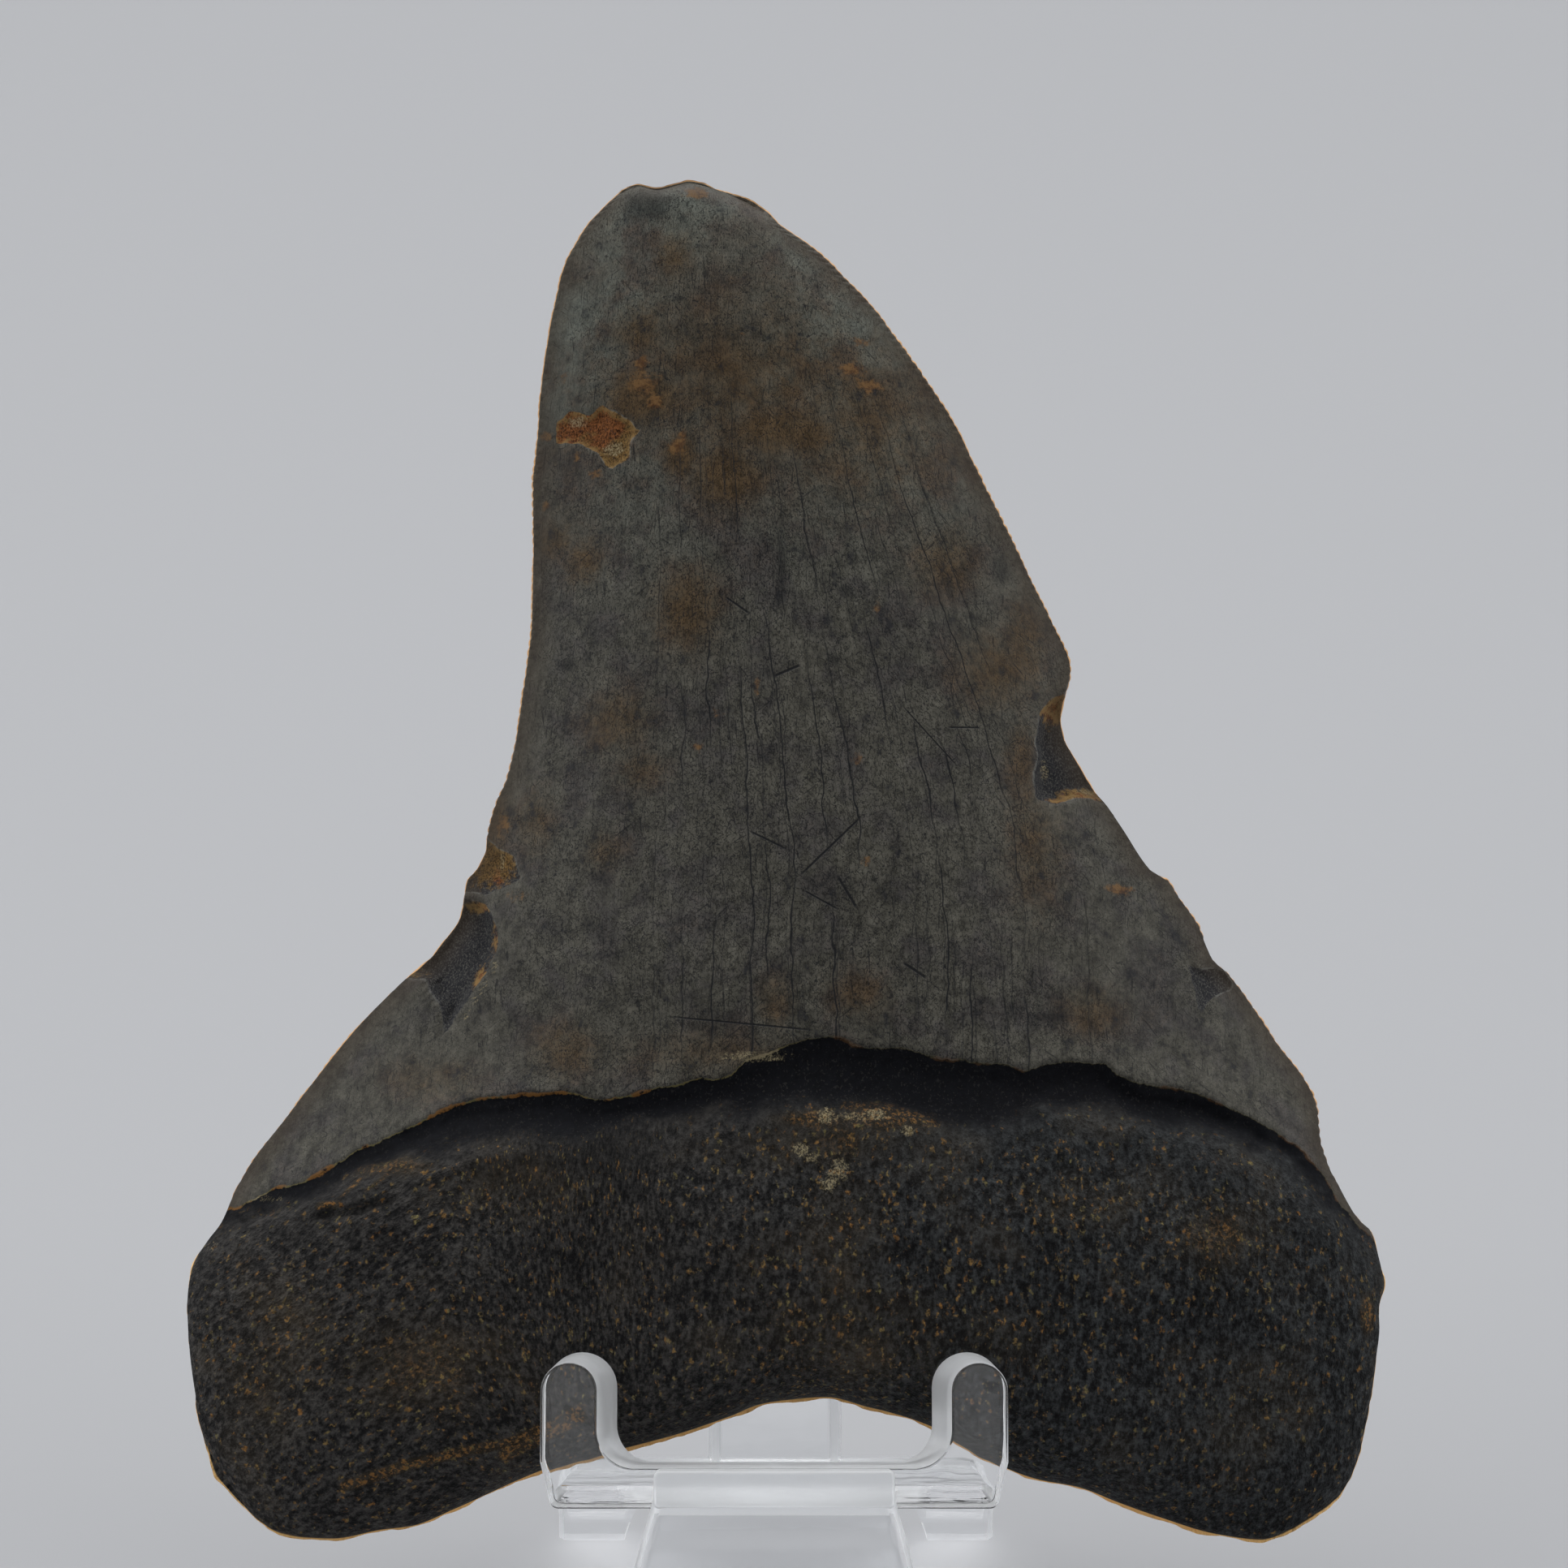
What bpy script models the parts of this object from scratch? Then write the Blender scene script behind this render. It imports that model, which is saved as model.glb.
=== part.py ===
"""A megalodon tooth that rests on a small clear display stand.

The named sizes are in millimetres and the meshes in metres, +Z up. The tooth's display face looks
towards -Y. The origin is on the table, under the middle of the whole object.

Two frames are used. The table's frame is (x, y, z). The leaning frame is (x, t, w): t runs up the
plane of the tooth's cutting edges, from the level at which the root rests on the stand, and w runs
from that plane out of the display face.
"""

import math

import bmesh
import bpy
import numpy as np

MM = 0.001
GAP = 0.3                      # clearance between the tooth and the stand

# How the leaning frame stands on the table.
LEAN = math.radians(14.0)      # the tooth leans back from upright
CENTRE_X = -1.0                # the stand's middle plane
REST_Y = 0.55                  # where t = 0, w = 0 lies
REST_Z = 17.0

# The tooth's outline in (x, t): up each side from a root lobe to the worn tip, and along the root.
LEFT_SIDE = [
    (-47.2, -4.6), (-51.2, -0.2), (-52.5, 4.5), (-53.8, 15.5), (-53.4, 18.5), (-50.9, 22.3),
    (-48.4, 28.1), (-42.8, 36.1), (-35.5, 44.5), (-31.0, 49.1), (-29.4, 52.6), (-29.1, 54.5),
    (-27.4, 57.2), (-27.3, 58.6), (-25.6, 63.8), (-24.3, 70.4), (-23.3, 78.2), (-23.3, 92.3),
    (-22.6, 101.9), (-21.7, 108.3), (-20.2, 114.7), (-18.1, 118.3), (-14.9, 121.6),
]
RIGHT_SIDE = [
    (49.1, -4.2), (52.5, -0.6), (54.9, 9.6), (55.3, 12.6), (55.2, 14.4), (55.8, 17.0),
    (54.8, 21.6), (52.0, 25.7), (50.6, 30.0), (50.4, 34.0), (47.1, 39.2), (42.6, 45.7),
    (41.0, 47.5), (40.0, 50.1), (37.0, 54.6), (35.1, 55.8), (30.9, 62.2), (28.5, 66.1),
    (27.2, 69.2), (27.6, 72.6), (28.2, 74.5), (26.7, 78.8), (22.9, 86.8), (18.7, 95.5),
    (14.0, 103.7), (6.2, 113.5), (1.5, 117.6), (-0.4, 119.1), (-5.9, 121.8),
]
ROOT_ARCH = [
    (-47.2, -4.6), (-42.8, -6.2), (-38.0, -6.0), (-33.2, -5.2), (-23.3, -1.0), (-14.1, 1.7),
    (-6.3, 3.9), (-1.5, 5.7), (4.7, 6.4), (10.2, 5.1), (14.2, 3.8), (20.9, 0.1), (27.7, -1.7),
    (35.1, -4.4), (42.4, -6.3), (46.9, -5.5), (49.1, -4.2),
]
TIP = [(-14.9, 121.6), (-10.6, 121.4), (-7.7, 122.6), (-5.9, 121.8)]

# The same sides before any chip, as (t, x): the thickness is worked out across this whole form.
WHOLE_LEFT = [
    (-4.6, -47.3), (4.5, -52.6), (15.5, -54.0), (22.3, -51.7), (28.1, -48.6), (36.1, -43.0),
    (44.5, -36.4), (52.0, -31.4), (60.0, -27.6), (70.4, -24.6), (80.0, -23.5), (92.3, -23.4),
    (101.9, -22.8), (108.3, -21.9), (114.7, -20.3), (118.3, -18.3), (121.6, -15.1),
]
WHOLE_RIGHT = [
    (-4.2, 49.2), (-0.6, 52.6), (9.6, 55.0), (17.0, 55.9), (21.6, 54.9), (25.7, 53.0),
    (34.0, 50.6), (39.2, 47.4), (45.7, 43.3), (54.6, 37.5), (62.2, 33.2), (74.5, 28.4),
    (86.8, 23.1), (95.5, 18.9), (103.7, 14.2), (113.5, 6.5), (117.6, 1.9), (121.8, -5.5),
]

# Where the enamel ends: on the display face above the smooth dark band, the bourlette, and on the
# back straight above the root. The band's own lower edge is a third line. All are (x, t).
ENAMEL_FRONT = [
    (-54.0, 21.0), (-47.5, 24.7), (-40.9, 27.1), (-35.2, 30.0), (-29.1, 32.9), (-19.8, 34.0),
    (-12.1, 34.1), (-4.3, 35.6), (1.8, 38.4), (5.4, 39.2), (11.0, 37.9), (18.1, 36.6),
    (27.3, 36.9), (33.5, 35.2), (41.5, 33.3), (47.2, 29.9), (52.9, 22.5), (56.0, 20.0),
]
BAND_FOOT = [
    (-54.0, 19.5), (-39.9, 23.0), (-35.2, 24.3), (-30.4, 28.0), (-26.0, 29.7), (-13.6, 30.9),
    (-1.3, 32.7), (4.2, 33.2), (10.4, 32.6), (17.1, 31.0), (25.3, 32.6), (31.8, 31.8),
    (38.3, 30.7), (44.9, 28.7), (50.6, 24.4), (56.0, 19.0),
]
ENAMEL_BACK = [(-54.0, 21.0), (-36.0, 26.0), (-16.0, 30.0), (2.0, 32.0), (20.0, 30.0), (56.0, 20.0)]

# Half thicknesses along the tooth's middle, as (t, mm), on each side of the outline's own surface.
FRONT_BULGE = [
    (-7.0, 8.0), (2.0, 10.5), (12.0, 11.6), (22.0, 12.0), (30.0, 12.0), (40.0, 12.6),
    (52.0, 11.0), (70.0, 8.6), (90.0, 6.0), (105.0, 4.2), (115.0, 3.0), (123.0, 2.0),
]
BACK_BULGE = [
    (-7.0, 7.0), (2.0, 9.4), (12.0, 10.2), (22.0, 9.7), (30.0, 7.2), (40.0, 4.5),
    (52.0, 4.1), (70.0, 3.7), (90.0, 2.9), (105.0, 2.2), (115.0, 1.7), (123.0, 1.2),
]
ROOT_OUTLINE_OFFSET = 5.5      # the root's outline lies this far in front of the cutting edges'
OFFSET_FROM_T = 20.0
OFFSET_TO_T = 42.0
BOTTOM_ROUNDING = 0.075        # the share of the height in which the root's underside is rounded
TIP_ROUNDING = 0.975
ENAMEL_STEP = 0.5              # the enamel's edge stands proud of the band
BAND_TROUGH = 0.7
BAND_SHOULDER = 0.6

# Chips and scars of the display face: (x, t, half width, half height, depth).
CHIPS = {
    "left scar": (-31.4, 46.6, 6.0, 7.4, 1.7),
    "left chip": (-27.2, 55.6, 3.4, 2.6, 0.8),
    "right scar": (28.9, 66.9, 4.8, 6.2, 2.2),
    "right chip": (41.4, 44.9, 2.9, 2.7, 0.8),
    "pit": (-16.8, 96.8, 4.0, 2.9, 0.7),
}

TOOTH_COLUMNS = 38
TOOTH_ROWS = 48
ROUNDING_ROWS = 6

# The stand, in the leaning frame. The fork is the front plate with the two prongs.
FORK_DEPTH = 8.8
FORK_HALF_WIDTH = 20.0
FORK_FOOT_HALF_WIDTH = 19.2
FORK_FOOT_T = -1.8
RAIL_T = 1.6                   # the top of the rail between the prongs
PRONG_WIDTH_FRONT = 4.8
PRONG_WIDTH_BACK = 6.2         # the slot's walls have draft
PRONG_TOP_FRONT = 10.5
PRONG_TOP_BACK = 11.1
SLOT_FILLET = 3.2
FLOOR_THICKNESS = 2.3
FLOOR_HALF_WIDTH = 19.6
REST_HALF_WIDTH = 7.6          # the back-rest
REST_TOP_T = 46.0
REST_THICKNESS = 4.0
REST_TOUCHES = (12.0, 42.0)    # the two levels at which the tooth's back lies on the back-rest

# The stand's legs, in the table's frame, as (distance behind REST_Y, height, half width).
FRONT_LEG = [
    (-19.5, 22.0, 10.0), (-24.5, 21.7, 10.2), (-27.8, 20.0, 11.0), (-30.0, 16.5, 12.0),
    (-31.3, 11.5, 12.6), (-32.0, 6.0, 12.8), (-32.1, 0.0, 12.8),
]
FRONT_LEG_THICKNESS = 3.0
REAR_LEGS = [
    (4.0, 14.0, 19.6), (10.0, 13.0, 19.8), (17.0, 10.8, 20.6), (23.5, 7.6, 21.4),
    (28.4, 3.8, 22.0), (30.6, 0.0, 22.0),
]
REAR_LEG_THICKNESS = 3.2
REAR_ARCH_HALF_WIDTHS = (13.0, 17.0)   # at its crown and at the table
REAR_ARCH_HEIGHT = 11.0
ARC_STEPS = 10


def clear_scene():
    """Removes whatever objects the file opens with."""
    for item in list(bpy.data.objects):
        bpy.data.objects.remove(item, do_unlink=True)


def smooth_step(value, low, high):
    """Rises from 0 at low to 1 at high, with level ends."""
    share = np.clip((value - low) / (high - low), 0.0, 1.0)
    return share * share * (3.0 - 2.0 * share)


def curve_through(points, at):
    """A cubic through the points that never overshoots them: second value as a function of first."""
    points = np.array(points, float)
    x, y = points[:, 0], points[:, 1]
    step = np.diff(x)
    slope = np.diff(y) / step
    before, after = slope[:-1], slope[1:]
    same_way = before * after > 0.0
    safe = np.where(same_way, before + after, 1.0)
    inner = np.where(same_way, 2.0 * before * after / safe, 0.0)
    tangent = np.concatenate([slope[:1], inner, slope[-1:]])
    at = np.clip(at, x[0], x[-1])
    i = np.clip(np.searchsorted(x, at, side="right") - 1, 0, len(step) - 1)
    u = (at - x[i]) / step[i]
    rise = y[i + 1] - y[i]
    lift = tangent[i] * step[i]
    fall = tangent[i + 1] * step[i]
    return y[i] + u * (lift + u * (3.0 * rise - 2.0 * lift - fall + u * (lift + fall - 2.0 * rise)))


def by_height(side):
    """A side's outline with t first, so that x is a function of t."""
    return [(t, x) for x, t in side]


def from_leaning(x, t, w):
    """Points of the leaning frame, in the table's frame."""
    y = REST_Y - w * math.cos(LEAN) + t * math.sin(LEAN)
    z = REST_Z + w * math.sin(LEAN) + t * math.cos(LEAN)
    return np.stack(np.broadcast_arrays(x + CENTRE_X, y, z), axis=-1)


def tooth_plan(u, v):
    """(x, t) of the tooth's outline filled by rows: u runs from left to right, v from root to tip."""
    bottom_left, top_left = LEFT_SIDE[0], LEFT_SIDE[-1]
    bottom_right, top_right = RIGHT_SIDE[0], RIGHT_SIDE[-1]
    left_t = bottom_left[1] + v * (top_left[1] - bottom_left[1])
    right_t = bottom_right[1] + v * (top_right[1] - bottom_right[1])
    left_x = curve_through(by_height(LEFT_SIDE), left_t)
    right_x = curve_through(by_height(RIGHT_SIDE), right_t)
    x = (1.0 - u) * left_x + u * right_x
    arch_x = bottom_left[0] + u * (bottom_right[0] - bottom_left[0])
    tip_x = top_left[0] + u * (top_right[0] - top_left[0])
    t = (1.0 - v) * curve_through(ROOT_ARCH, arch_x) + v * curve_through(TIP, tip_x)
    return x, t


def outline_offset(t):
    """How far the outline's own surface lies in front of the plane of the cutting edges."""
    return ROOT_OUTLINE_OFFSET * (1.0 - smooth_step(t, OFFSET_FROM_T, OFFSET_TO_T))


def end_rounding(v):
    """1 over most of the height, falling to 0 in a round end at the root's underside and the tip."""
    low = np.clip(v / BOTTOM_ROUNDING, 0.0, 1.0)
    high = np.clip((v - TIP_ROUNDING) / (1.0 - TIP_ROUNDING), 0.0, 1.0)
    return (1.0 - (1.0 - low) ** 2.4) ** (1.0 / 2.2) * np.sqrt(1.0 - high ** 3)


def root_waves(x, t):
    """The root's slow unevenness."""
    return 0.35 * np.sin(0.31 * x + 0.17 * t) * np.sin(0.27 * t - 0.11 * x + 1.0)


def chip_depth(x, t):
    """How deep the chips and scars cut: flat floors with steep, rounded walls."""
    depth = np.zeros_like(x)
    for chip_x, chip_t, half_width, half_height, deep in CHIPS.values():
        inside = 1.0 - ((x - chip_x) / half_width) ** 2 - ((t - chip_t) / half_height) ** 2
        depth = np.maximum(depth, deep * smooth_step(inside, 0.0, 0.45))
    return depth


def share_across(x, t):
    """0 on the middle line of the whole form and 1 on its sides."""
    left = curve_through(WHOLE_LEFT, t)
    right = curve_through(WHOLE_RIGHT, t)
    return np.clip(np.abs(2.0 * (x - left) / (right - left) - 1.0), 0.0, 1.0)


def front_height(v, x, t):
    """The display face above the outline's surface: a blunt root, a lens-shaped crown, the band
    between them as a trough under the enamel's edge, less the chips."""
    across = share_across(x, t)
    above = t - curve_through(ENAMEL_FRONT, x)
    below_band = curve_through(BAND_FOOT, x) - t
    crown = smooth_step(above, -9.0, 5.0)
    blunt = (1.0 - 0.45 * across ** 2) * np.sqrt(1.0 - across ** 7)
    lens = (1.0 - across ** 2) ** 0.85
    height = curve_through(FRONT_BULGE, t) * ((1.0 - crown) * blunt + crown * lens)
    edge = np.sqrt(np.clip(1.0 - across ** 4, 0.0, 1.0))
    height += edge * ENAMEL_STEP * smooth_step(above, -0.2, 0.8) * np.exp(-np.clip(above, 0, 60) / 12.0)
    trough = smooth_step(-above, 0.0, 1.5) * (1.0 - smooth_step(below_band, -1.5, 1.0))
    shoulder = np.exp(-((below_band - 1.5) / 2.2) ** 2)
    height += edge * (BAND_SHOULDER * shoulder - BAND_TROUGH * trough)
    height += edge * root_waves(x, t) * (1.0 - crown)
    height -= chip_depth(x, t) * np.clip(height / 2.5, 0.0, 1.0)
    return height * end_rounding(v)


def back_height(v, x, t):
    """The back below the outline's surface: flat over the crown, fuller over the root."""
    across = share_across(x, t)
    above = t - curve_through(ENAMEL_BACK, x)
    crown = smooth_step(above, -9.0, 5.0)
    blunt = (1.0 - 0.35 * across ** 2) * np.sqrt(1.0 - across ** 7)
    flat = (1.0 - across ** 3) ** 0.9
    height = curve_through(BACK_BULGE, t) * ((1.0 - crown) * blunt + crown * flat)
    edge = np.sqrt(np.clip(1.0 - across ** 4, 0.0, 1.0))
    height += edge * 0.7 * root_waves(x + 20.0, t) * (1.0 - crown)
    return height * end_rounding(v)


def tooth_grid():
    """The columns' and rows' places, closer together where the root and the edges are rounded."""
    even = np.linspace(-1.0, 1.0, TOOTH_COLUMNS + 1)
    u = 0.5 + 0.5 * (0.55 * even + 0.45 * np.sin(0.5 * math.pi * even))
    low = BOTTOM_ROUNDING * (1.0 - np.cos(np.linspace(0.0, 0.5 * math.pi, ROUNDING_ROWS + 1)))
    high = np.linspace(BOTTOM_ROUNDING, 1.0, TOOTH_ROWS - ROUNDING_ROWS + 1)[1:]
    v = np.concatenate([low, high])
    return np.meshgrid(u, v)


def tooth_surfaces():
    """(x, t, front w, back w) on the grid."""
    u, v = tooth_grid()
    x, t = tooth_plan(u, v)
    middle = outline_offset(t)
    front = middle + front_height(v, x, t)
    back = middle - back_height(v, x, t)
    rim = np.ones_like(u, bool)
    rim[1:-1, 1:-1] = False
    front[rim] = middle[rim]
    back[rim] = middle[rim]
    return x, t, front, back


def grid_faces(index, flip):
    """Quads of a grid of vertex numbers."""
    a, b, c, d = index[:-1, :-1], index[:-1, 1:], index[1:, 1:], index[1:, :-1]
    quads = np.stack([a, b, c, d], axis=-1).reshape(-1, 4)
    return quads[:, ::-1] if flip else quads


def add_material(item, colour, roughness, metallic=0.0, transmission=0.0, ior=1.5):
    """Gives the object its own Principled material."""
    material = bpy.data.materials.new(item.name + "_material")
    material.use_nodes = True
    shader = material.node_tree.nodes["Principled BSDF"]
    shader.inputs["Base Color"].default_value = (*colour, 1.0)
    shader.inputs["Roughness"].default_value = roughness
    shader.inputs["Metallic"].default_value = metallic
    shader.inputs["Transmission Weight"].default_value = transmission
    shader.inputs["IOR"].default_value = ior
    item.data.materials.append(material)


def new_object(name, points, faces):
    """A mesh object from points in millimetres and faces, with its faces turned outwards."""
    mesh = bpy.data.meshes.new(name)
    mesh.from_pydata((np.asarray(points) * MM).tolist(), [], [list(map(int, f)) for f in faces])
    work = bmesh.new()
    work.from_mesh(mesh)
    bmesh.ops.recalc_face_normals(work, faces=work.faces)
    work.to_mesh(mesh)
    work.free()
    item = bpy.data.objects.new(name, mesh)
    bpy.context.scene.collection.objects.link(item)
    return item


def build_tooth(surfaces):
    """One closed solid: the two faces share the vertices of the outline."""
    x, t, front, back = surfaces
    rows, columns = x.shape
    front_index = np.arange(rows * columns).reshape(rows, columns)
    back_index = front_index.copy()
    inner = (rows - 2) * (columns - 2)
    back_index[1:-1, 1:-1] = rows * columns + np.arange(inner).reshape(rows - 2, columns - 2)
    front_points = from_leaning(x, t, front).reshape(-1, 3)
    back_points = from_leaning(x, t, back)[1:-1, 1:-1].reshape(-1, 3)
    faces = np.concatenate([grid_faces(front_index, False), grid_faces(back_index, True)])
    tooth = new_object("megalodon_tooth", np.concatenate([front_points, back_points]), faces)
    tooth.data.shade_smooth()
    add_material(tooth, (0.065, 0.06, 0.052), 0.55)
    return tooth


def loft(name, near, far, place):
    """A closed solid between two outlines with the same number of points."""
    count = len(near)
    points = [place(*point) for point in near] + [place(*point) for point in far]
    faces = [list(range(count)), list(range(2 * count - 1, count - 1, -1))]
    for i in range(count):
        j = (i + 1) % count
        faces.append([i, i + count, j + count, j])
    return new_object(name, points, faces)


def prism(name, outline, low, high, place):
    """An outline of (a, b) points carried from low to high along the third axis."""
    near = [(a, b, low) for a, b in outline]
    far = [(a, b, high) for a, b in outline]
    return loft(name, near, far, place)


def arc(centre, radii, start, end, steps=ARC_STEPS):
    """Points along part of an ellipse, angles in degrees, anticlockwise from +a."""
    turn = np.radians(np.linspace(start, end, steps + 1))
    return [(centre[0] + radii[0] * math.cos(s), centre[1] + radii[1] * math.sin(s)) for s in turn]


def fork_outline(prong_width, prong_top):
    """The fork seen from the front: a rail with a round-topped prong at each end."""
    inner = FORK_HALF_WIDTH - prong_width
    radius = 0.5 * prong_width
    right = [(FORK_FOOT_HALF_WIDTH, FORK_FOOT_T), (FORK_HALF_WIDTH, RAIL_T)]
    right += arc((inner + radius, prong_top - radius), (radius, radius), 0.0, 180.0)
    right += arc((inner - SLOT_FILLET, RAIL_T + SLOT_FILLET), (SLOT_FILLET, SLOT_FILLET), 0.0, -90.0, 5)
    left = [(-a, b) for a, b in reversed(right)]
    return right + left


def build_fork(back_w):
    near = [(a, b, back_w + FORK_DEPTH) for a, b in fork_outline(PRONG_WIDTH_FRONT, PRONG_TOP_FRONT)]
    far = [(a, b, back_w) for a, b in fork_outline(PRONG_WIDTH_BACK, PRONG_TOP_BACK)]
    return loft("display_stand", near, far, lambda a, b, w: from_leaning(a, b, w))


def build_floor(front_w, back_w):
    """The floor under the root, square to the tooth's plane."""
    top = -GAP
    outline = [
        (-FLOOR_HALF_WIDTH, top), (-FLOOR_HALF_WIDTH, top - FLOOR_THICKNESS),
        (FLOOR_HALF_WIDTH, top - FLOOR_THICKNESS), (FLOOR_HALF_WIDTH, top),
    ]
    return prism("floor", outline, back_w, front_w, lambda a, b, w: from_leaning(a, b, w))


def build_back_rest(face_w, tilt):
    """The upright strip behind the tooth, with a round top. It follows the taper of the back."""
    low = -GAP - 0.5 * FLOOR_THICKNESS
    outline = [(-REST_HALF_WIDTH, low), (REST_HALF_WIDTH, low)]
    top_centre = (0.0, REST_TOP_T - REST_HALF_WIDTH)
    outline += arc(top_centre, (REST_HALF_WIDTH, REST_HALF_WIDTH), 0.0, 180.0)

    def place(a, b, w):
        return from_leaning(a, b, w + tilt * b)

    return prism("back_rest", outline, face_w - REST_THICKNESS, face_w, place)


def ribbon(name, stations, thickness, steps=3):
    """A bent strip: its middle line runs smoothly through the stations and ends upright on the table."""
    stations = np.array(stations, float)
    along = np.concatenate([[0.0], np.cumsum(np.hypot(*np.diff(stations[:, :2], axis=0).T))])
    at = np.interp(np.arange((len(stations) - 1) * steps + 1) / steps, range(len(stations)), along)
    line = [curve_through(np.stack([along, stations[:, i]], axis=1), at) for i in range(3)]
    depth, height, half_width = line
    run = np.gradient(depth, at)
    drop = np.gradient(height, at)
    run[-1] = 0.0
    drop[-1] = -1.0
    length = np.hypot(run, drop)
    off_y = -drop / length * 0.5 * thickness
    off_z = run / length * 0.5 * thickness
    points = []
    for i in range(len(at)):
        for side, face in ((-1, 1), (1, 1), (1, -1), (-1, -1)):
            y = REST_Y + depth[i] + face * off_y[i]
            points.append((CENTRE_X + side * half_width[i], y, height[i] + face * off_z[i]))
    faces = [[0, 1, 2, 3], [4 * len(at) - 1 - i for i in range(4)]]
    for i in range(len(at) - 1):
        for j in range(4):
            k = (j + 1) % 4
            faces.append([4 * i + j, 4 * i + 4 + j, 4 * i + 4 + k, 4 * i + k])
    return new_object(name, points, faces)


def arch_cutter():
    """The opening between the two rear legs, round at its crown."""
    crown_half, foot_half = REAR_ARCH_HALF_WIDTHS
    outline = [(-foot_half, -5.0), (foot_half, -5.0)]
    outline += arc((0.0, 0.0), (0.5 * (crown_half + foot_half), REAR_ARCH_HEIGHT), 20.0, 160.0)
    return prism(
        "arch_cutter", outline, 8.0, 45.0,
        lambda a, b, y: (CENTRE_X + a, REST_Y + y, b),
    )


def combine(base, other, operation):
    """Applies a Boolean of the other object to the base and removes the other."""
    modifier = base.modifiers.new(operation.lower(), "BOOLEAN")
    modifier.operation = operation
    modifier.solver = "EXACT"
    modifier.object = other
    bpy.context.view_layer.objects.active = base
    bpy.ops.object.modifier_apply(modifier=modifier.name)
    bpy.data.objects.remove(other, do_unlink=True)


def tooth_faces_near(surfaces, half_low, half_high, t_low, t_high):
    """The furthest-out display face and the furthest-out back in a band of |x| and t."""
    x, t, front, back = surfaces
    near = (np.abs(x) >= half_low) & (np.abs(x) <= half_high) & (t >= t_low) & (t <= t_high)
    return front[near].max(), back[near].min()


def build_stand(surfaces):
    """The whole stand as one moulded piece, set against the tooth with the clearance."""
    inner = FORK_HALF_WIDTH - PRONG_WIDTH_BACK
    prong_back = tooth_faces_near(surfaces, inner - 3.0, FORK_HALF_WIDTH + 3.0, -3.0, 14.0)[0] + GAP
    low_t, high_t = REST_TOUCHES
    low_w, high_w = (
        tooth_faces_near(surfaces, 0.0, REST_HALF_WIDTH + 3.0, t - 8.0, t + 8.0)[1] - GAP
        for t in REST_TOUCHES
    )
    tilt = (high_w - low_w) / (high_t - low_t)
    rest_face = low_w - tilt * low_t
    stand = build_fork(prong_back)
    floor = build_floor(prong_back + 0.4 * FORK_DEPTH, rest_face - REST_THICKNESS)
    combine(stand, floor, "UNION")
    combine(stand, build_back_rest(rest_face, tilt), "UNION")
    combine(stand, ribbon("front_leg", FRONT_LEG, FRONT_LEG_THICKNESS), "UNION")
    legs = ribbon("rear_legs", REAR_LEGS, REAR_LEG_THICKNESS)
    combine(legs, arch_cutter(), "DIFFERENCE")
    combine(stand, legs, "UNION")
    stand.data.shade_smooth()
    stand.data.set_sharp_from_angle(angle=math.radians(30.0))
    add_material(stand, (0.95, 0.96, 0.97), 0.03, transmission=1.0, ior=1.49)
    print("prongs' back face at w", round(float(prong_back), 2), "back-rest at w", round(float(rest_face), 2))
    return stand


def main():
    clear_scene()
    surfaces = tooth_surfaces()
    build_tooth(surfaces)
    build_stand(surfaces)


main()
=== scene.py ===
# %% [markdown]
# # A megalodon tooth on a clear stand
#
# A fossil shark's tooth, as wide as a hand, stands on its two root lobes' inner slopes in a small
# clear plastic easel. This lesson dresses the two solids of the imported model. The tooth becomes one
# fine mesh with serrated cutting edges, chips and a dark band under the enamel, and its finish is
# written with shader nodes. The stand becomes one moulding with rounded edges in clear plastic.
#
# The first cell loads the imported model, so that every piece is made where its solid is.

import math

import bmesh
import bpy
import numpy as np
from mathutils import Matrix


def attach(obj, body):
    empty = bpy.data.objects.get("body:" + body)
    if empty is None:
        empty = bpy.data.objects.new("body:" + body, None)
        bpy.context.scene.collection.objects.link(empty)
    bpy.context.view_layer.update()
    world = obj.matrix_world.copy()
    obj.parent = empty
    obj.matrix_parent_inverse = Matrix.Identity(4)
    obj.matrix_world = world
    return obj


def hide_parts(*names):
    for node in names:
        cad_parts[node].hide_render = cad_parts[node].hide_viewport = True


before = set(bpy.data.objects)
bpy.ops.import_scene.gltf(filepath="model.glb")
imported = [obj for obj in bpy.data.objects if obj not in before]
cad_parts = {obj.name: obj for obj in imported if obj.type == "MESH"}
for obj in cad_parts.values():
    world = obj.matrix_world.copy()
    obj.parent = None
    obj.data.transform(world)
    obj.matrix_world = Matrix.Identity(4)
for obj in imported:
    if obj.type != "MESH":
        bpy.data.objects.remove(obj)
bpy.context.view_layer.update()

# %% [markdown]
# ## Two ways to say where a point is
#
# The tooth leans back on its stand, so its own shape is easier to say in a leaning frame. There, x
# runs across, t runs up the plane of the cutting edges from the level at which the root rests, and w
# runs out of that plane towards the viewer. One function turns such a point into the model's metres.
# All sizes in this file are in millimetres until they pass through it.

# %% The leaning frame
MM = 0.001
LEAN = math.radians(14.0)
CENTRE_X = -1.0                # the stand's middle plane
REST_Y = 0.55                  # where t = 0, w = 0 lies
REST_Z = 17.0
GAP = 0.3                      # clearance between the tooth and the stand


def from_leaning(x, t, w):
    """Turns (x, t, w) by the lean about the X axis, moves it to the rest point, and gives metres."""
    y = REST_Y - w * math.cos(LEAN) + t * math.sin(LEAN)
    z = REST_Z + w * math.sin(LEAN) + t * math.cos(LEAN)
    return np.stack(np.broadcast_arrays(x + CENTRE_X, y, z), axis=-1) * MM


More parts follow.
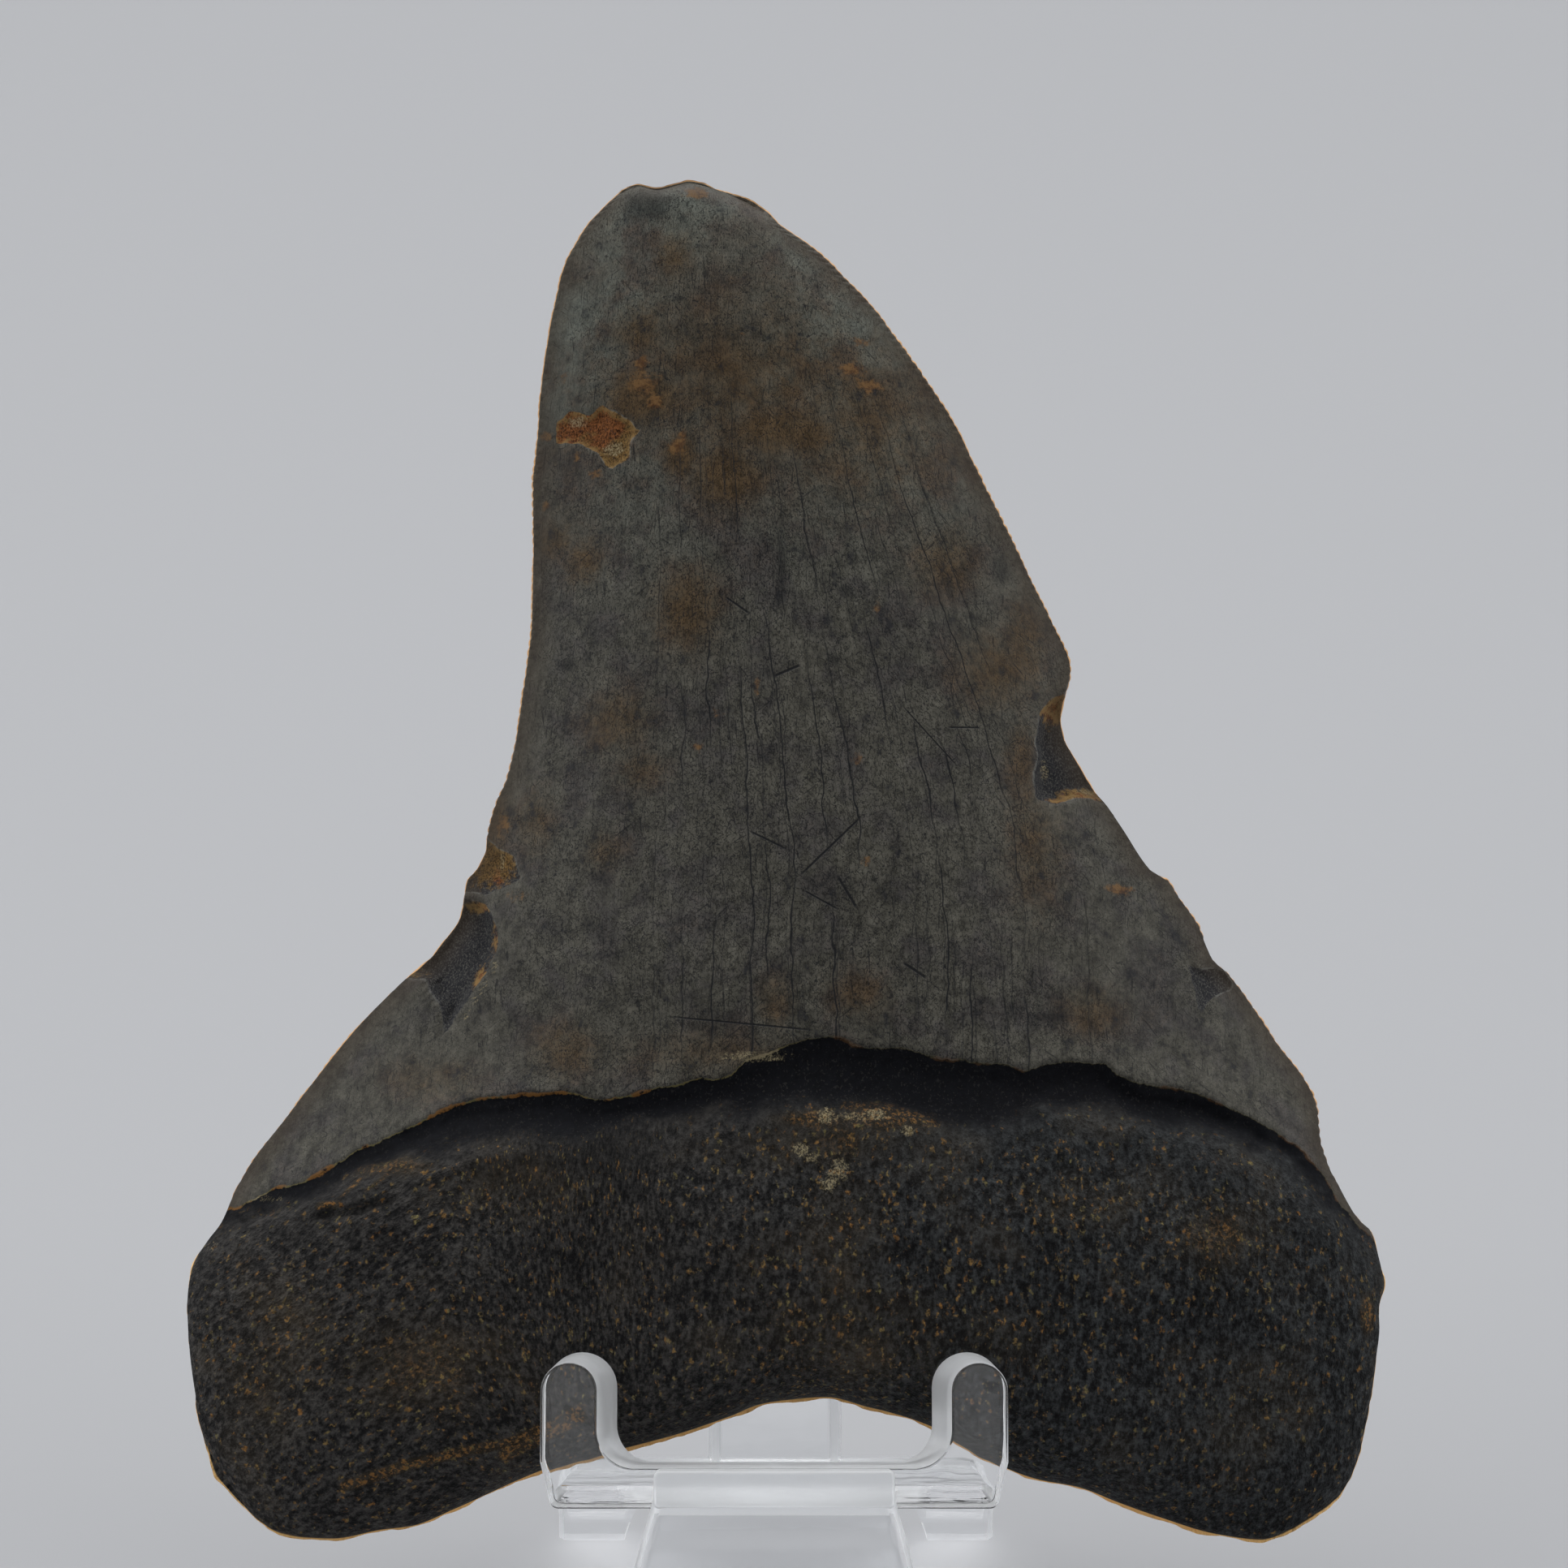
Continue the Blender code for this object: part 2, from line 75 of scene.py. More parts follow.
def from_table(x, y, z):
    """A point given from the stand's middle plane and REST_Y, in metres."""
    return np.stack(np.broadcast_arrays(x + CENTRE_X, y + REST_Y, z), axis=-1) * MM


def smooth_step(value, low, high):
    """Rises from 0 at low to 1 at high along 3s^2 - 2s^3, where s is the share of the way."""
    share = np.clip((value - low) / (high - low), 0.0, 1.0)
    return share * share * (3.0 - 2.0 * share)


def curve_through(points, at):
    """A cubic through the points that never overshoots: its slope at a point is the harmonic mean of
    the slopes on both sides, or level where they differ in sign."""
    points = np.array(points, float)
    x, y = points[:, 0], points[:, 1]
    step = np.diff(x)
    slope = np.diff(y) / step
    before, after = slope[:-1], slope[1:]
    same_way = before * after > 0.0
    safe = np.where(same_way, before + after, 1.0)
    inner = np.where(same_way, 2.0 * before * after / safe, 0.0)
    tangent = np.concatenate([slope[:1], inner, slope[-1:]])
    at = np.clip(at, x[0], x[-1])
    i = np.clip(np.searchsorted(x, at, side="right") - 1, 0, len(step) - 1)
    u = (at - x[i]) / step[i]
    rise = y[i + 1] - y[i]
    lift = tangent[i] * step[i]
    fall = tangent[i + 1] * step[i]
    return y[i] + u * (lift + u * (3.0 * rise - 2.0 * lift - fall + u * (lift + fall - 2.0 * rise)))


print("the rest point is at", np.round(from_leaning(0.0, 0.0, 0.0) * 1000, 2).tolist(), "mm")

# %% [markdown]
# ## The camera
#
# The tooth is seen almost square on, from a little above its middle. A long lens close to 80 mm keeps
# the outline true. The camera could be aimed with a constraint, but a fixed place and pitch worked
# out from the point it looks at is simpler to read and to repeat.

# %% Camera
SIGHT_PITCH = math.radians(7.0)          # the camera looks down by this much
SIGHT_DISTANCE = 0.340
SIGHT_POINT = from_leaning(0.836, 63.69, 0.0)
FOCAL_LENGTH = 82.36
SENSOR = 36.0

camera = bpy.data.objects.new("camera", bpy.data.cameras.new("camera"))
bpy.context.scene.collection.objects.link(camera)
camera.data.lens = FOCAL_LENGTH
camera.data.sensor_width = SENSOR
camera.data.clip_start = 0.01
sight = np.array([0.0, math.cos(SIGHT_PITCH), -math.sin(SIGHT_PITCH)])
camera.location = (SIGHT_POINT - SIGHT_DISTANCE * sight).tolist()
camera.rotation_euler = (0.5 * math.pi - SIGHT_PITCH, 0.0, 0.0)
bpy.context.scene.camera = camera
print("camera at", [round(c, 4) for c in camera.location])

# %% [markdown]
# ## Chance that repeats
#
# Fossils are uneven at every size. A noise is needed that gives the same value at the same place on
# every run. Blender's own noise works point by point in Python, so here a small table of seeded
# random numbers stands for a lattice, and numpy blends it for all the points at once.

# %% Lattice noise
CHANCE = np.random.default_rng(3619).uniform(-1.0, 1.0, 8192)


def lattice_noise(size, seed, *place):
    """Random heights from -1 to 1 at the corners of boxes `size` mm wide, blended with 6f^5 - 15f^4 +
    10f^3 between them. The corner's three whole numbers pick its height from the table."""
    place = np.stack(np.broadcast_arrays(*place), axis=-1) / size
    corner = np.floor(place).astype(np.int64)
    f = place - corner
    f = f * f * f * (f * (f * 6.0 - 15.0) + 10.0)
    total = np.zeros(place.shape[:-1])
    for bits in range(2 ** place.shape[-1]):
        offset = np.array([(bits >> axis) & 1 for axis in range(place.shape[-1])])
        key = (corner + offset) * np.array([73856093, 19349663, 83492791])[: place.shape[-1]]
        pick = np.bitwise_xor.reduce(key, axis=-1) + seed * 7919
        weight = np.prod(np.where(offset, f, 1.0 - f), axis=-1)
        total += weight * CHANCE[pick % len(CHANCE)]
    return total


def rough_noise(size, octaves, seed, *place):
    """Lattice noises added up, each half as wide and half as high as the one before."""
    return sum(lattice_noise(size / 2 ** k, seed + k, *place) / 2 ** k for k in range(octaves))


sample = lattice_noise(5.0, 1, np.array([0.0, 2.5, 7.0]), 1.0, 2.0)
print("noise at three places:", np.round(sample, 3))

# %% [markdown]
# ## The tooth's outline
#
# The tooth is a broad triangle with a worn tip that points a little to the left. Both sides have lost
# chips, and the root's underside is a low arch between two lobes. Each side is one list of points
# from the root up, so that x is a function of t. The filled outline could be a triangulated polygon,
# but a grid is better for relief: each row is stretched between the two sides, and the rows bend from
# the arch at the bottom to the tip at the top.

# %% Outline
LEFT_SIDE = [
    (-47.2, -4.6), (-49.8, -2.0), (-51.2, -0.2), (-52.5, 4.5), (-53.6, 11.8), (-53.8, 15.5),
    (-53.4, 18.5), (-52.1, 20.7), (-50.9, 22.3), (-49.7, 25.5), (-48.4, 28.1), (-45.7, 31.9),
    (-42.8, 36.1), (-39.3, 40.7), (-35.5, 44.5), (-32.5, 47.2), (-31.0, 49.1), (-29.9, 50.7),
    (-29.4, 52.6), (-29.1, 54.5), (-28.0, 55.7), (-27.4, 57.2), (-27.3, 58.6), (-26.4, 62.2),
    (-25.6, 63.8), (-25.0, 66.1), (-24.3, 70.4), (-23.7, 75.1), (-23.3, 78.2), (-23.2, 84.5),
    (-23.3, 92.3), (-23.0, 95.5), (-22.6, 101.9), (-21.7, 108.3), (-20.9, 112.3), (-20.2, 114.7),
    (-19.2, 116.5), (-18.1, 118.3), (-16.9, 119.7), (-14.9, 121.6),
]
RIGHT_SIDE = [
    (49.1, -4.2), (51.4, -2.4), (52.5, -0.6), (53.5, 2.3), (54.9, 9.6), (55.3, 12.6),
    (55.2, 14.4), (55.8, 17.0), (55.4, 19.6), (54.8, 21.6), (53.7, 22.5), (52.0, 25.7),
    (51.2, 27.4), (50.6, 30.0), (50.6, 32.3), (50.3, 34.0), (49.6, 35.7), (47.1, 39.2),
    (45.0, 42.5), (42.6, 45.7), (41.3, 46.8), (40.7, 48.2), (40.0, 50.1), (37.9, 53.3),
    (37.0, 54.6), (35.9, 55.0), (35.1, 55.8), (33.0, 59.1), (30.9, 62.2), (30.0, 63.4),
    (28.5, 66.1), (27.3, 68.4), (27.2, 70.0), (27.6, 72.3), (28.2, 74.5), (28.0, 75.7),
    (26.7, 78.8), (24.8, 82.7), (22.9, 86.8), (21.7, 89.2), (19.6, 93.5), (17.5, 98.1),
    (14.0, 103.7), (12.1, 106.3), (9.9, 109.5), (6.2, 113.5), (3.5, 116.0), (0.5, 118.1),
    (-0.4, 119.1), (-2.4, 120.6), (-4.3, 121.3), (-5.9, 121.8),
]
ROOT_ARCH = [
    (-47.2, -4.6), (-45.3, -5.7), (-42.8, -6.2), (-40.2, -6.3), (-35.8, -5.5), (-33.2, -5.2),
    (-29.1, -3.6), (-23.3, -1.0), (-21.0, -0.1), (-14.1, 1.7), (-9.1, 3.0), (-6.3, 3.9),
    (-4.0, 4.7), (-1.5, 5.7), (0.8, 6.1), (4.7, 6.4), (8.5, 5.5), (10.2, 5.1), (14.2, 3.8),
    (16.7, 2.3), (20.9, 0.1), (24.0, -1.0), (27.7, -1.7), (31.4, -3.1), (35.1, -4.4),
    (40.2, -5.9), (44.3, -6.4), (46.9, -5.5), (49.1, -4.2),
]
TIP = [
    (-14.9, 121.6), (-14.2, 122.0), (-13.4, 122.2), (-11.6, 121.8), (-9.7, 122.2), (-8.3, 122.5),
    (-7.1, 122.3), (-5.9, 121.8),
]
# The same sides before any chip, as (t, x): the thickness is worked out across this whole form.
WHOLE_LEFT = [
    (-4.6, -47.3), (4.5, -52.6), (15.5, -54.0), (22.3, -51.7), (28.1, -48.6), (36.1, -43.0),
    (44.5, -36.4), (52.0, -31.4), (60.0, -27.6), (70.4, -24.6), (80.0, -23.5), (92.3, -23.4),
    (101.9, -22.8), (108.3, -21.9), (114.7, -20.3), (118.3, -18.3), (121.6, -15.1),
]
WHOLE_RIGHT = [
    (-4.2, 49.2), (-0.6, 52.6), (9.6, 55.0), (17.0, 55.9), (21.6, 54.9), (25.7, 53.0),
    (34.0, 50.6), (39.2, 47.4), (45.7, 43.3), (54.6, 37.5), (62.2, 33.2), (74.5, 28.4),
    (86.8, 23.1), (95.5, 18.9), (103.7, 14.2), (113.5, 6.5), (117.6, 1.9), (121.8, -5.5),
]


def side_curve(side, t):
    """x on a side's outline as a function of t."""
    return curve_through([(b, a) for a, b in side], t)


def tooth_plan(u, v):
    """(x, t) inside the outline. x goes from the left side to the right side in proportion to u, and
    t from the arch to the tip in proportion to v."""
    bottom_left, top_left = LEFT_SIDE[0], LEFT_SIDE[-1]
    bottom_right, top_right = RIGHT_SIDE[0], RIGHT_SIDE[-1]
    left_x = side_curve(LEFT_SIDE, bottom_left[1] + v * (top_left[1] - bottom_left[1]))
    right_x = side_curve(RIGHT_SIDE, bottom_right[1] + v * (top_right[1] - bottom_right[1]))
    arch = curve_through(ROOT_ARCH, bottom_left[0] + u * (bottom_right[0] - bottom_left[0]))
    tip = curve_through(TIP, top_left[0] + u * (top_right[0] - top_left[0]))
    return (1.0 - u) * left_x + u * right_x, (1.0 - v) * arch + v * tip


def share_across(x, t):
    """0 on the middle line of the whole form and 1 on its sides."""
    left = curve_through(WHOLE_LEFT, t)
    right = curve_through(WHOLE_RIGHT, t)
    return np.clip(np.abs(2.0 * (x - left) / (right - left) - 1.0), 0.0, 1.0)


def inside_outline(x, t):
    """How far a point lies inside the outline, in mm: the least of its distances to the two sides,
    the arch and the tip, each measured across and shortened by that line's slope there."""
    distances = []
    for side, sign in ((LEFT_SIDE, 1.0), (RIGHT_SIDE, -1.0)):
        slope = (side_curve(side, t + 0.5) - side_curve(side, t - 0.5))
        distances.append(sign * (x - side_curve(side, t)) / np.sqrt(1.0 + slope ** 2))
    distances.append(t - curve_through(ROOT_ARCH, x))
    distances.append(np.where(t > 115.0, curve_through(TIP, x) - t, 99.0))
    return np.clip(np.minimum.reduce(distances), 0.0, None)


width = RIGHT_SIDE[8][0] - LEFT_SIDE[5][0]
print("the tooth is", round(width, 1), "mm wide;", len(LEFT_SIDE) + len(RIGHT_SIDE), "side points")

# %% [markdown]
# ## The lines on the display face
#
# Three zones share the display face: the enamel of the crown, a smooth dark band under it (the
# bourlette), and the porous root. Their borders are lines t(x). A border could be painted by a
# texture, but a distance to it, kept on every vertex, serves both the relief and the colour, and
# stays crisp however coarse the mesh is.

# %% Enamel edge and band
ENAMEL_FRONT = [
    (-54.0, 21.0), (-47.5, 24.7), (-44.8, 25.7), (-40.9, 27.1), (-37.8, 29.2), (-35.2, 30.0),
    (-31.5, 32.1), (-29.1, 32.9), (-26.3, 33.5), (-19.8, 34.0), (-15.2, 33.4), (-12.1, 34.1),
    (-8.7, 34.6), (-4.3, 35.6), (-2.5, 36.7), (1.8, 38.4), (5.4, 39.2), (7.6, 38.4),
    (11.0, 37.9), (15.6, 37.0), (20.2, 36.8), (22.4, 36.1), (27.3, 36.9), (29.9, 36.7),
    (31.2, 35.6), (35.6, 34.4), (39.3, 33.9), (43.4, 32.0), (47.2, 29.9), (50.0, 27.3),
    (52.9, 22.5), (56.0, 20.0),
]
BAND_FOOT = [
    (-54.0, 19.8), (-47.0, 23.4), (-40.0, 25.6), (-35.2, 27.6), (-30.4, 29.0), (-26.0, 29.9),
    (-13.6, 30.9), (-1.3, 32.7), (4.2, 33.2), (10.4, 32.6), (17.1, 31.0), (25.3, 32.6),
    (31.8, 31.8), (38.3, 30.7), (44.9, 28.7), (50.6, 24.4), (56.0, 19.0),
]
ENAMEL_BACK = [(-54.0, 21.0), (-36.0, 26.0), (-16.0, 30.0), (2.0, 32.0), (20.0, 30.0), (56.0, 20.0)]


def above_line(line, x, t, raggedness, seed):
    """Distance above a line, in mm: the height above it shortened by the line's slope, less a noise
    that makes it ragged."""
    slope = 0.5 * (curve_through(line, x + 1.0) - curve_through(line, x - 1.0))
    ragged = raggedness * rough_noise(2.4, 3, seed, x, t)
    return (t - curve_through(line, x)) / np.sqrt(1.0 + slope ** 2) - ragged


# %% [markdown]
# ## Chips and scars
#
# Flakes have broken off the cutting edges and left hollows with a steep wall against the sound enamel
# and a dark, grainy floor. Each hollow is a polygon that runs out past the outline. An ellipse would
# be simpler, but these broken edges have corners, so the depth is a function of the distance inside
# the polygon.

# %% Scar polygons
SCARS = {
    "left": [
        (-29.0, 53.0), (-27.0, 51.9), (-26.0, 50.0), (-25.7, 48.5), (-26.0, 47.0), (-27.0, 45.1),
        (-28.7, 42.4), (-30.6, 39.2), (-30.8, 40.9), (-31.2, 42.8), (-32.9, 44.9), (-35.6, 45.4),
        (-38.5, 47.0), (-33.0, 53.0),
    ],
    "right": [
        (30.0, 72.6), (27.4, 72.2), (26.0, 71.6), (25.1, 69.9), (24.7, 68.4), (24.4, 66.1),
        (24.3, 63.8), (24.4, 61.7), (26.3, 61.2), (27.8, 61.9), (29.7, 62.0), (33.0, 61.0),
        (36.0, 66.0),
    ],
}
FLAKES = {
    "left": [
        (-27.2, 58.2), (-24.3, 56.5), (-23.4, 53.9), (-27.0, 53.0), (-30.0, 53.6), (-31.0, 57.0),
    ],
    "right": [(38.4, 46.4), (42.0, 46.0), (43.0, 44.4), (39.3, 41.9)],
    "pit": [
        (-20.9, 98.0), (-19.7, 99.2), (-17.8, 98.7), (-16.4, 99.7), (-13.8, 98.0), (-12.7, 97.0),
        (-13.6, 96.0), (-13.7, 94.3), (-15.4, 93.4), (-17.0, 95.2), (-18.3, 96.1), (-20.8, 96.4),
    ],
}
SCAR_DEPTH = 1.9
FLAKE_DEPTH = 0.55


def from_path(points, x, t):
    """Least distance to a path of straight stretches, in mm: on each stretch, to the point at the
    share of its length that lies square to (x, t), kept between its two ends."""
    nearest = np.full(np.shape(x), 1e9)
    for (ax, at), (bx, bt) in zip(points, points[1:]):
        run, rise = bx - ax, bt - at
        along = np.clip(((x - ax) * run + (t - at) * rise) / (run * run + rise * rise), 0.0, 1.0)
        nearest = np.minimum(nearest, np.hypot(x - ax - along * run, t - at - along * rise))
    return nearest


def inside_polygon(corners, x, t):
    """Signed distance to a polygon, in mm, positive inside: the distance to its closed path, with the
    sign from how often a line to the right crosses it."""
    closed = [*corners, corners[0]]
    crossings = np.zeros(np.shape(x), int)
    for (ax, at), (bx, bt) in zip(closed, closed[1:]):
        spans = (at > t) != (bt > t)
        crossings += spans & (x < ax + (t - at) * (bx - ax) / ((bt - at) or 1.0))
    nearest = from_path(closed, x, t)
    return np.where(crossings % 2 == 1, nearest, -nearest)


def inside_any(polygons, x, t, raggedness, seed):
    """Distance inside the nearest of several polygons with ragged borders."""
    ragged = raggedness * rough_noise(1.6, 3, seed, x, t)
    return np.maximum.reduce([inside_polygon(p, x, t) for p in polygons.values()]) + ragged


# %% [markdown]
# ## Thickness and relief
#
# The crown is lens-shaped with sharp edges, the root is blunt, and the band between them is a shallow
# trough under the enamel's thin edge. The heights above the cutting edges' plane are sums of such
# terms, each a formula in (x, t). Sculpting by hand would give the same look, but formulas can be
# read, changed and run again.

# %% Ridges
# The root's shoulder has small folds and grooves, and rust has settled along some lines. Each is a
# path of points (x, t), with its height in mm or its strength, and its half width in mm.
RIDGES = [
    ([(-41.5, 23.9), (-38.9, 24.7), (-36.6, 25.6), (-33.5, 27.7)], 0.5, 0.6),
    ([(-40.6, 23.0), (-37.6, 23.4), (-34.4, 24.3)], -0.8, 0.45),
    ([(-48.5, 22.4), (-46.0, 23.2), (-43.6, 23.8)], -0.5, 0.4),
    ([(-31.0, 26.4), (-27.5, 27.8), (-23.0, 28.6)], 0.3, 0.6),
]
RUST_PATHS = [
    ([(-41.0, 24.0), (-39.2, 24.1)], 1.2, 0.35),
    ([(-38.9, 24.7), (-37.5, 26.2)], 1.2, 0.22),
    ([(-36.6, 25.3), (-33.5, 27.7)], 0.95, 0.25),
    ([(-17.0, 6.2), (-19.5, 4.7), (-23.5, 3.0), (-27.5, 2.3), (-33.0, 0.9), (-38.5, -1.0)], 1.3, 0.5),
    ([(-17.0, 5.4), (-21.0, 3.4), (-24.0, 1.9)], 1.2, 0.7),
    ([(6.3, 32.9), (10.0, 32.6), (14.6, 31.4)], 1.1, 0.5),
]


def path_bells(rows, x, t):
    """Bells exp(-(d / half width)^2) times their strengths, one for each path."""
    return [
        strength * np.exp(-((from_path(points, x, t) / half_width) ** 2))
        for points, strength, half_width in rows
    ]


# %% Heights
# Half thicknesses along the tooth's middle, as (t, mm), on each side of the outline's own surface.
FRONT_BULGE = [
    (-7.0, 8.0), (2.0, 10.5), (12.0, 11.6), (22.0, 12.0), (30.0, 12.0), (40.0, 12.6),
    (52.0, 11.0), (70.0, 8.6), (90.0, 6.0), (105.0, 4.2), (115.0, 3.0), (123.0, 2.0),
]
BACK_BULGE = [
    (-7.0, 7.0), (2.0, 9.4), (12.0, 10.2), (22.0, 9.7), (30.0, 7.2), (40.0, 4.5),
    (52.0, 4.1), (70.0, 3.7), (90.0, 2.9), (105.0, 2.2), (115.0, 1.7), (123.0, 1.2),
]
ROOT_OUTLINE_OFFSET = 5.5      # the root's outline lies this far in front of the cutting edges'
OFFSET_FROM_T = 20.0
OFFSET_TO_T = 42.0
BOTTOM_ROUNDING = 0.075        # the share of the height in which the root's underside is rounded
TIP_ROUNDING = 0.975
ENAMEL_STEP = 0.55             # the enamel's edge stands proud of the band
BAND_TROUGH = 0.7
BAND_SHOULDER = 0.6
RIGHT_GROOVE = 0.9             # the band is deeper on the right


def outline_offset(t):
    """How far the outline's own surface lies in front of the plane of the cutting edges."""
    return ROOT_OUTLINE_OFFSET * (1.0 - smooth_step(t, OFFSET_FROM_T, OFFSET_TO_T))


def end_rounding(v):
    """1 over most of the height, and a round end at the underside and the tip: a power curve below
    and the root of 1 - s^3 above."""
    low = np.clip(v / BOTTOM_ROUNDING, 0.0, 1.0)
    high = np.clip((v - TIP_ROUNDING) / (1.0 - TIP_ROUNDING), 0.0, 1.0)
    return (1.0 - (1.0 - low) ** 2.4) ** (1.0 / 2.2) * np.sqrt(1.0 - high ** 3)


def root_relief(x, t):
    """Slow waves, lumps a few millimetres wide and a coarse grain."""
    waves = 0.35 * np.sin(0.31 * x + 0.17 * t) * np.sin(0.27 * t - 0.11 * x + 1.0)
    return waves + 0.22 * lattice_noise(6.0, 11, x, t) + 0.16 * rough_noise(2.2, 3, 17, x, t)


def crown_relief(x, t):
    """Very shallow flutes that follow the growth lines, on a slow unevenness."""
    flutes = 0.07 * np.sin(growth_lines(x, t) / 1.5 + 0.8 * lattice_noise(16.0, 5, x, t))
    return flutes * smooth_step(t, 110.0, 55.0) + 0.13 * lattice_noise(11.0, 23, x, t)


def growth_lines(x, t):
    """Numbers the fine lines that fan down the crown. They run straight up to t = 48 and then lean in
    towards x = -9.8, so the number is the distance from there over a width that shrinks upwards."""
    bend = np.clip((t - 48.0) / 25.0, 0.0, 1.0)
    rise = 12.5 * bend * bend + np.clip(t - 73.0, 0.0, None)
    return (x + 9.8) * np.exp(0.013 * rise)


def front_height(v, x, t, lines):
    """Bulge times a blunt profile on the root and a lens on the crown, plus the enamel's step, less
    the band's trough, plus the shoulder under it, less the scars."""
    across = share_across(x, t)
    above, below_band = lines["enamel"], lines["band"]
    crown = smooth_step(t - curve_through(ENAMEL_FRONT, x), -9.0, 5.0)
    blunt = (1.0 - 0.45 * across ** 2) * np.sqrt(1.0 - across ** 7)
    lens = (1.0 - across ** 2) ** 0.85
    height = curve_through(FRONT_BULGE, t) * ((1.0 - crown) * blunt + crown * lens)
    edge = np.sqrt(np.clip(1.0 - across ** 4, 0.0, 1.0))
    fading = np.exp(-np.clip(above, 0, 60) / 12.0)
    height += edge * ENAMEL_STEP * smooth_step(above, -0.3, 0.3) * fading
    trough = smooth_step(-above, 0.0, 1.5) * (1.0 - smooth_step(below_band, -1.5, 1.0))
    shoulder = np.exp(-((below_band - 1.5) / 2.2) ** 2)
    depth = BAND_TROUGH + RIGHT_GROOVE * smooth_step(x, 18.0, 40.0)
    height += edge * (BAND_SHOULDER * shoulder - depth * trough)
    height += edge * root_relief(x, t) * smooth_step(below_band, -0.8, 1.6)
    height += edge * crown_relief(x, t) * smooth_step(above, 0.0, 2.0)
    height += sum(path_bells(RIDGES, x, t))
    grain = 0.14 * rough_noise(1.3, 2, 31, x, t)
    scar = (SCAR_DEPTH + grain) * smooth_step(lines["scar"], -0.1, 0.9)
    flake = (FLAKE_DEPTH + grain) * smooth_step(lines["flake"], -0.1, 0.6)
    height -= np.maximum(scar, flake) * np.clip(height / 2.5, 0.0, 1.0)
    return height * end_rounding(v)


def back_height(v, x, t, lines):
    """The back below the outline's surface: flat over the crown, fuller over the root."""
    across = share_across(x, t)
    crown = smooth_step(t - curve_through(ENAMEL_BACK, x), -9.0, 5.0)
    blunt = (1.0 - 0.35 * across ** 2) * np.sqrt(1.0 - across ** 7)
    flat = (1.0 - across ** 3) ** 0.9
    height = curve_through(BACK_BULGE, t) * ((1.0 - crown) * blunt + crown * flat)
    edge = np.sqrt(np.clip(1.0 - across ** 4, 0.0, 1.0))
    above = lines["enamel"]
    height += edge * 0.3 * smooth_step(above, -0.4, 0.4) * np.exp(-np.clip(above, 0, 60) / 10.0)
    height += edge * 0.7 * root_relief(x + 20.0, t) * smooth_step(-above, 0.0, 2.0)
    height += edge * crown_relief(x + 40.0, t) * smooth_step(above, 0.0, 2.0)
    return height * end_rounding(v)


# %% [markdown]
# ## One closed mesh
#
# The display face and the back are two grids. Between them runs one ring of much finer points, the
# cutting edge itself, because its serrations are under a millimetre wide and a grid fine enough for
# them would be far too heavy. The grids stop just short of the edge, and a strip of triangles zips
# each of them to the ring. Rows lie closer together where the enamel ends and where the root is
# round.

# %% Grids and the cutting edge
FRONT_GRID = (236, 300)        # columns and rows
BACK_GRID = (104, 130)
RIM_INSET = 0.22               # the grids stop this far inside the outline
RIM_STEP = 0.15                # spacing of the ring's points on the cutting edges
SERRATION_PITCH = 0.9
SERRATION_HEIGHT = 0.17
TOP_OF_ENAMEL_SIDES = 24.0     # the cutting edges start at this level


def crowded(count, places, width, strength):
    """count + 1 numbers from 0 to 1 that crowd together near some places: the inverse of the summed
    density 1 + strength * exp(-(distance / width)^2)."""
    fine = np.linspace(0.0, 1.0, 4001)
    density = 1.0 + sum(strength * np.exp(-((fine - place) / width) ** 2) for place in places)
    total = np.concatenate([[0.0], np.cumsum(0.5 * (density[1:] + density[:-1]))])
    return np.interp(np.linspace(0.0, total[-1], count + 1), total, fine)


def face_grid(columns, rows):
    """(u, v, x, t) on a grid that stops RIM_INSET short of the outline."""
    u, v = np.meshgrid(
        crowded(columns, (0.0, 1.0), 0.05, 1.6), crowded(rows, (0.0, 0.25), 0.055, 1.3)
    )
    x, t = tooth_plan(u, v)
    return u, v, x + RIM_INSET * (1.0 - 2.0 * u), t + RIM_INSET * (1.0 - 2.0 * v)


def grid_ring(index, u, v):
    """A grid's border once round, anticlockwise from the lower left, with the place p of each point:
    0 to 1 along the bottom, to 2 up the right side, to 3 back along the top, to 4 down the left."""
    ring = [index[0, :-1], index[:-1, -1], index[-1, :0:-1], index[:0:-1, 0]]
    place = [u[0, :-1], 1.0 + v[:-1, -1], 3.0 - u[-1, :0:-1], 4.0 - v[:0:-1, 0]]
    return np.concatenate(ring), np.concatenate(place)


def rim_plan(p):
    """(x, t) of the outline at the place p."""
    u = np.select([p < 1.0, p < 2.0, p < 3.0], [p, 1.0, 3.0 - p], 0.0)
    v = np.select([p < 1.0, p < 2.0, p < 3.0], [0.0, p - 1.0, 1.0], 4.0 - p)
    return tooth_plan(u, v)


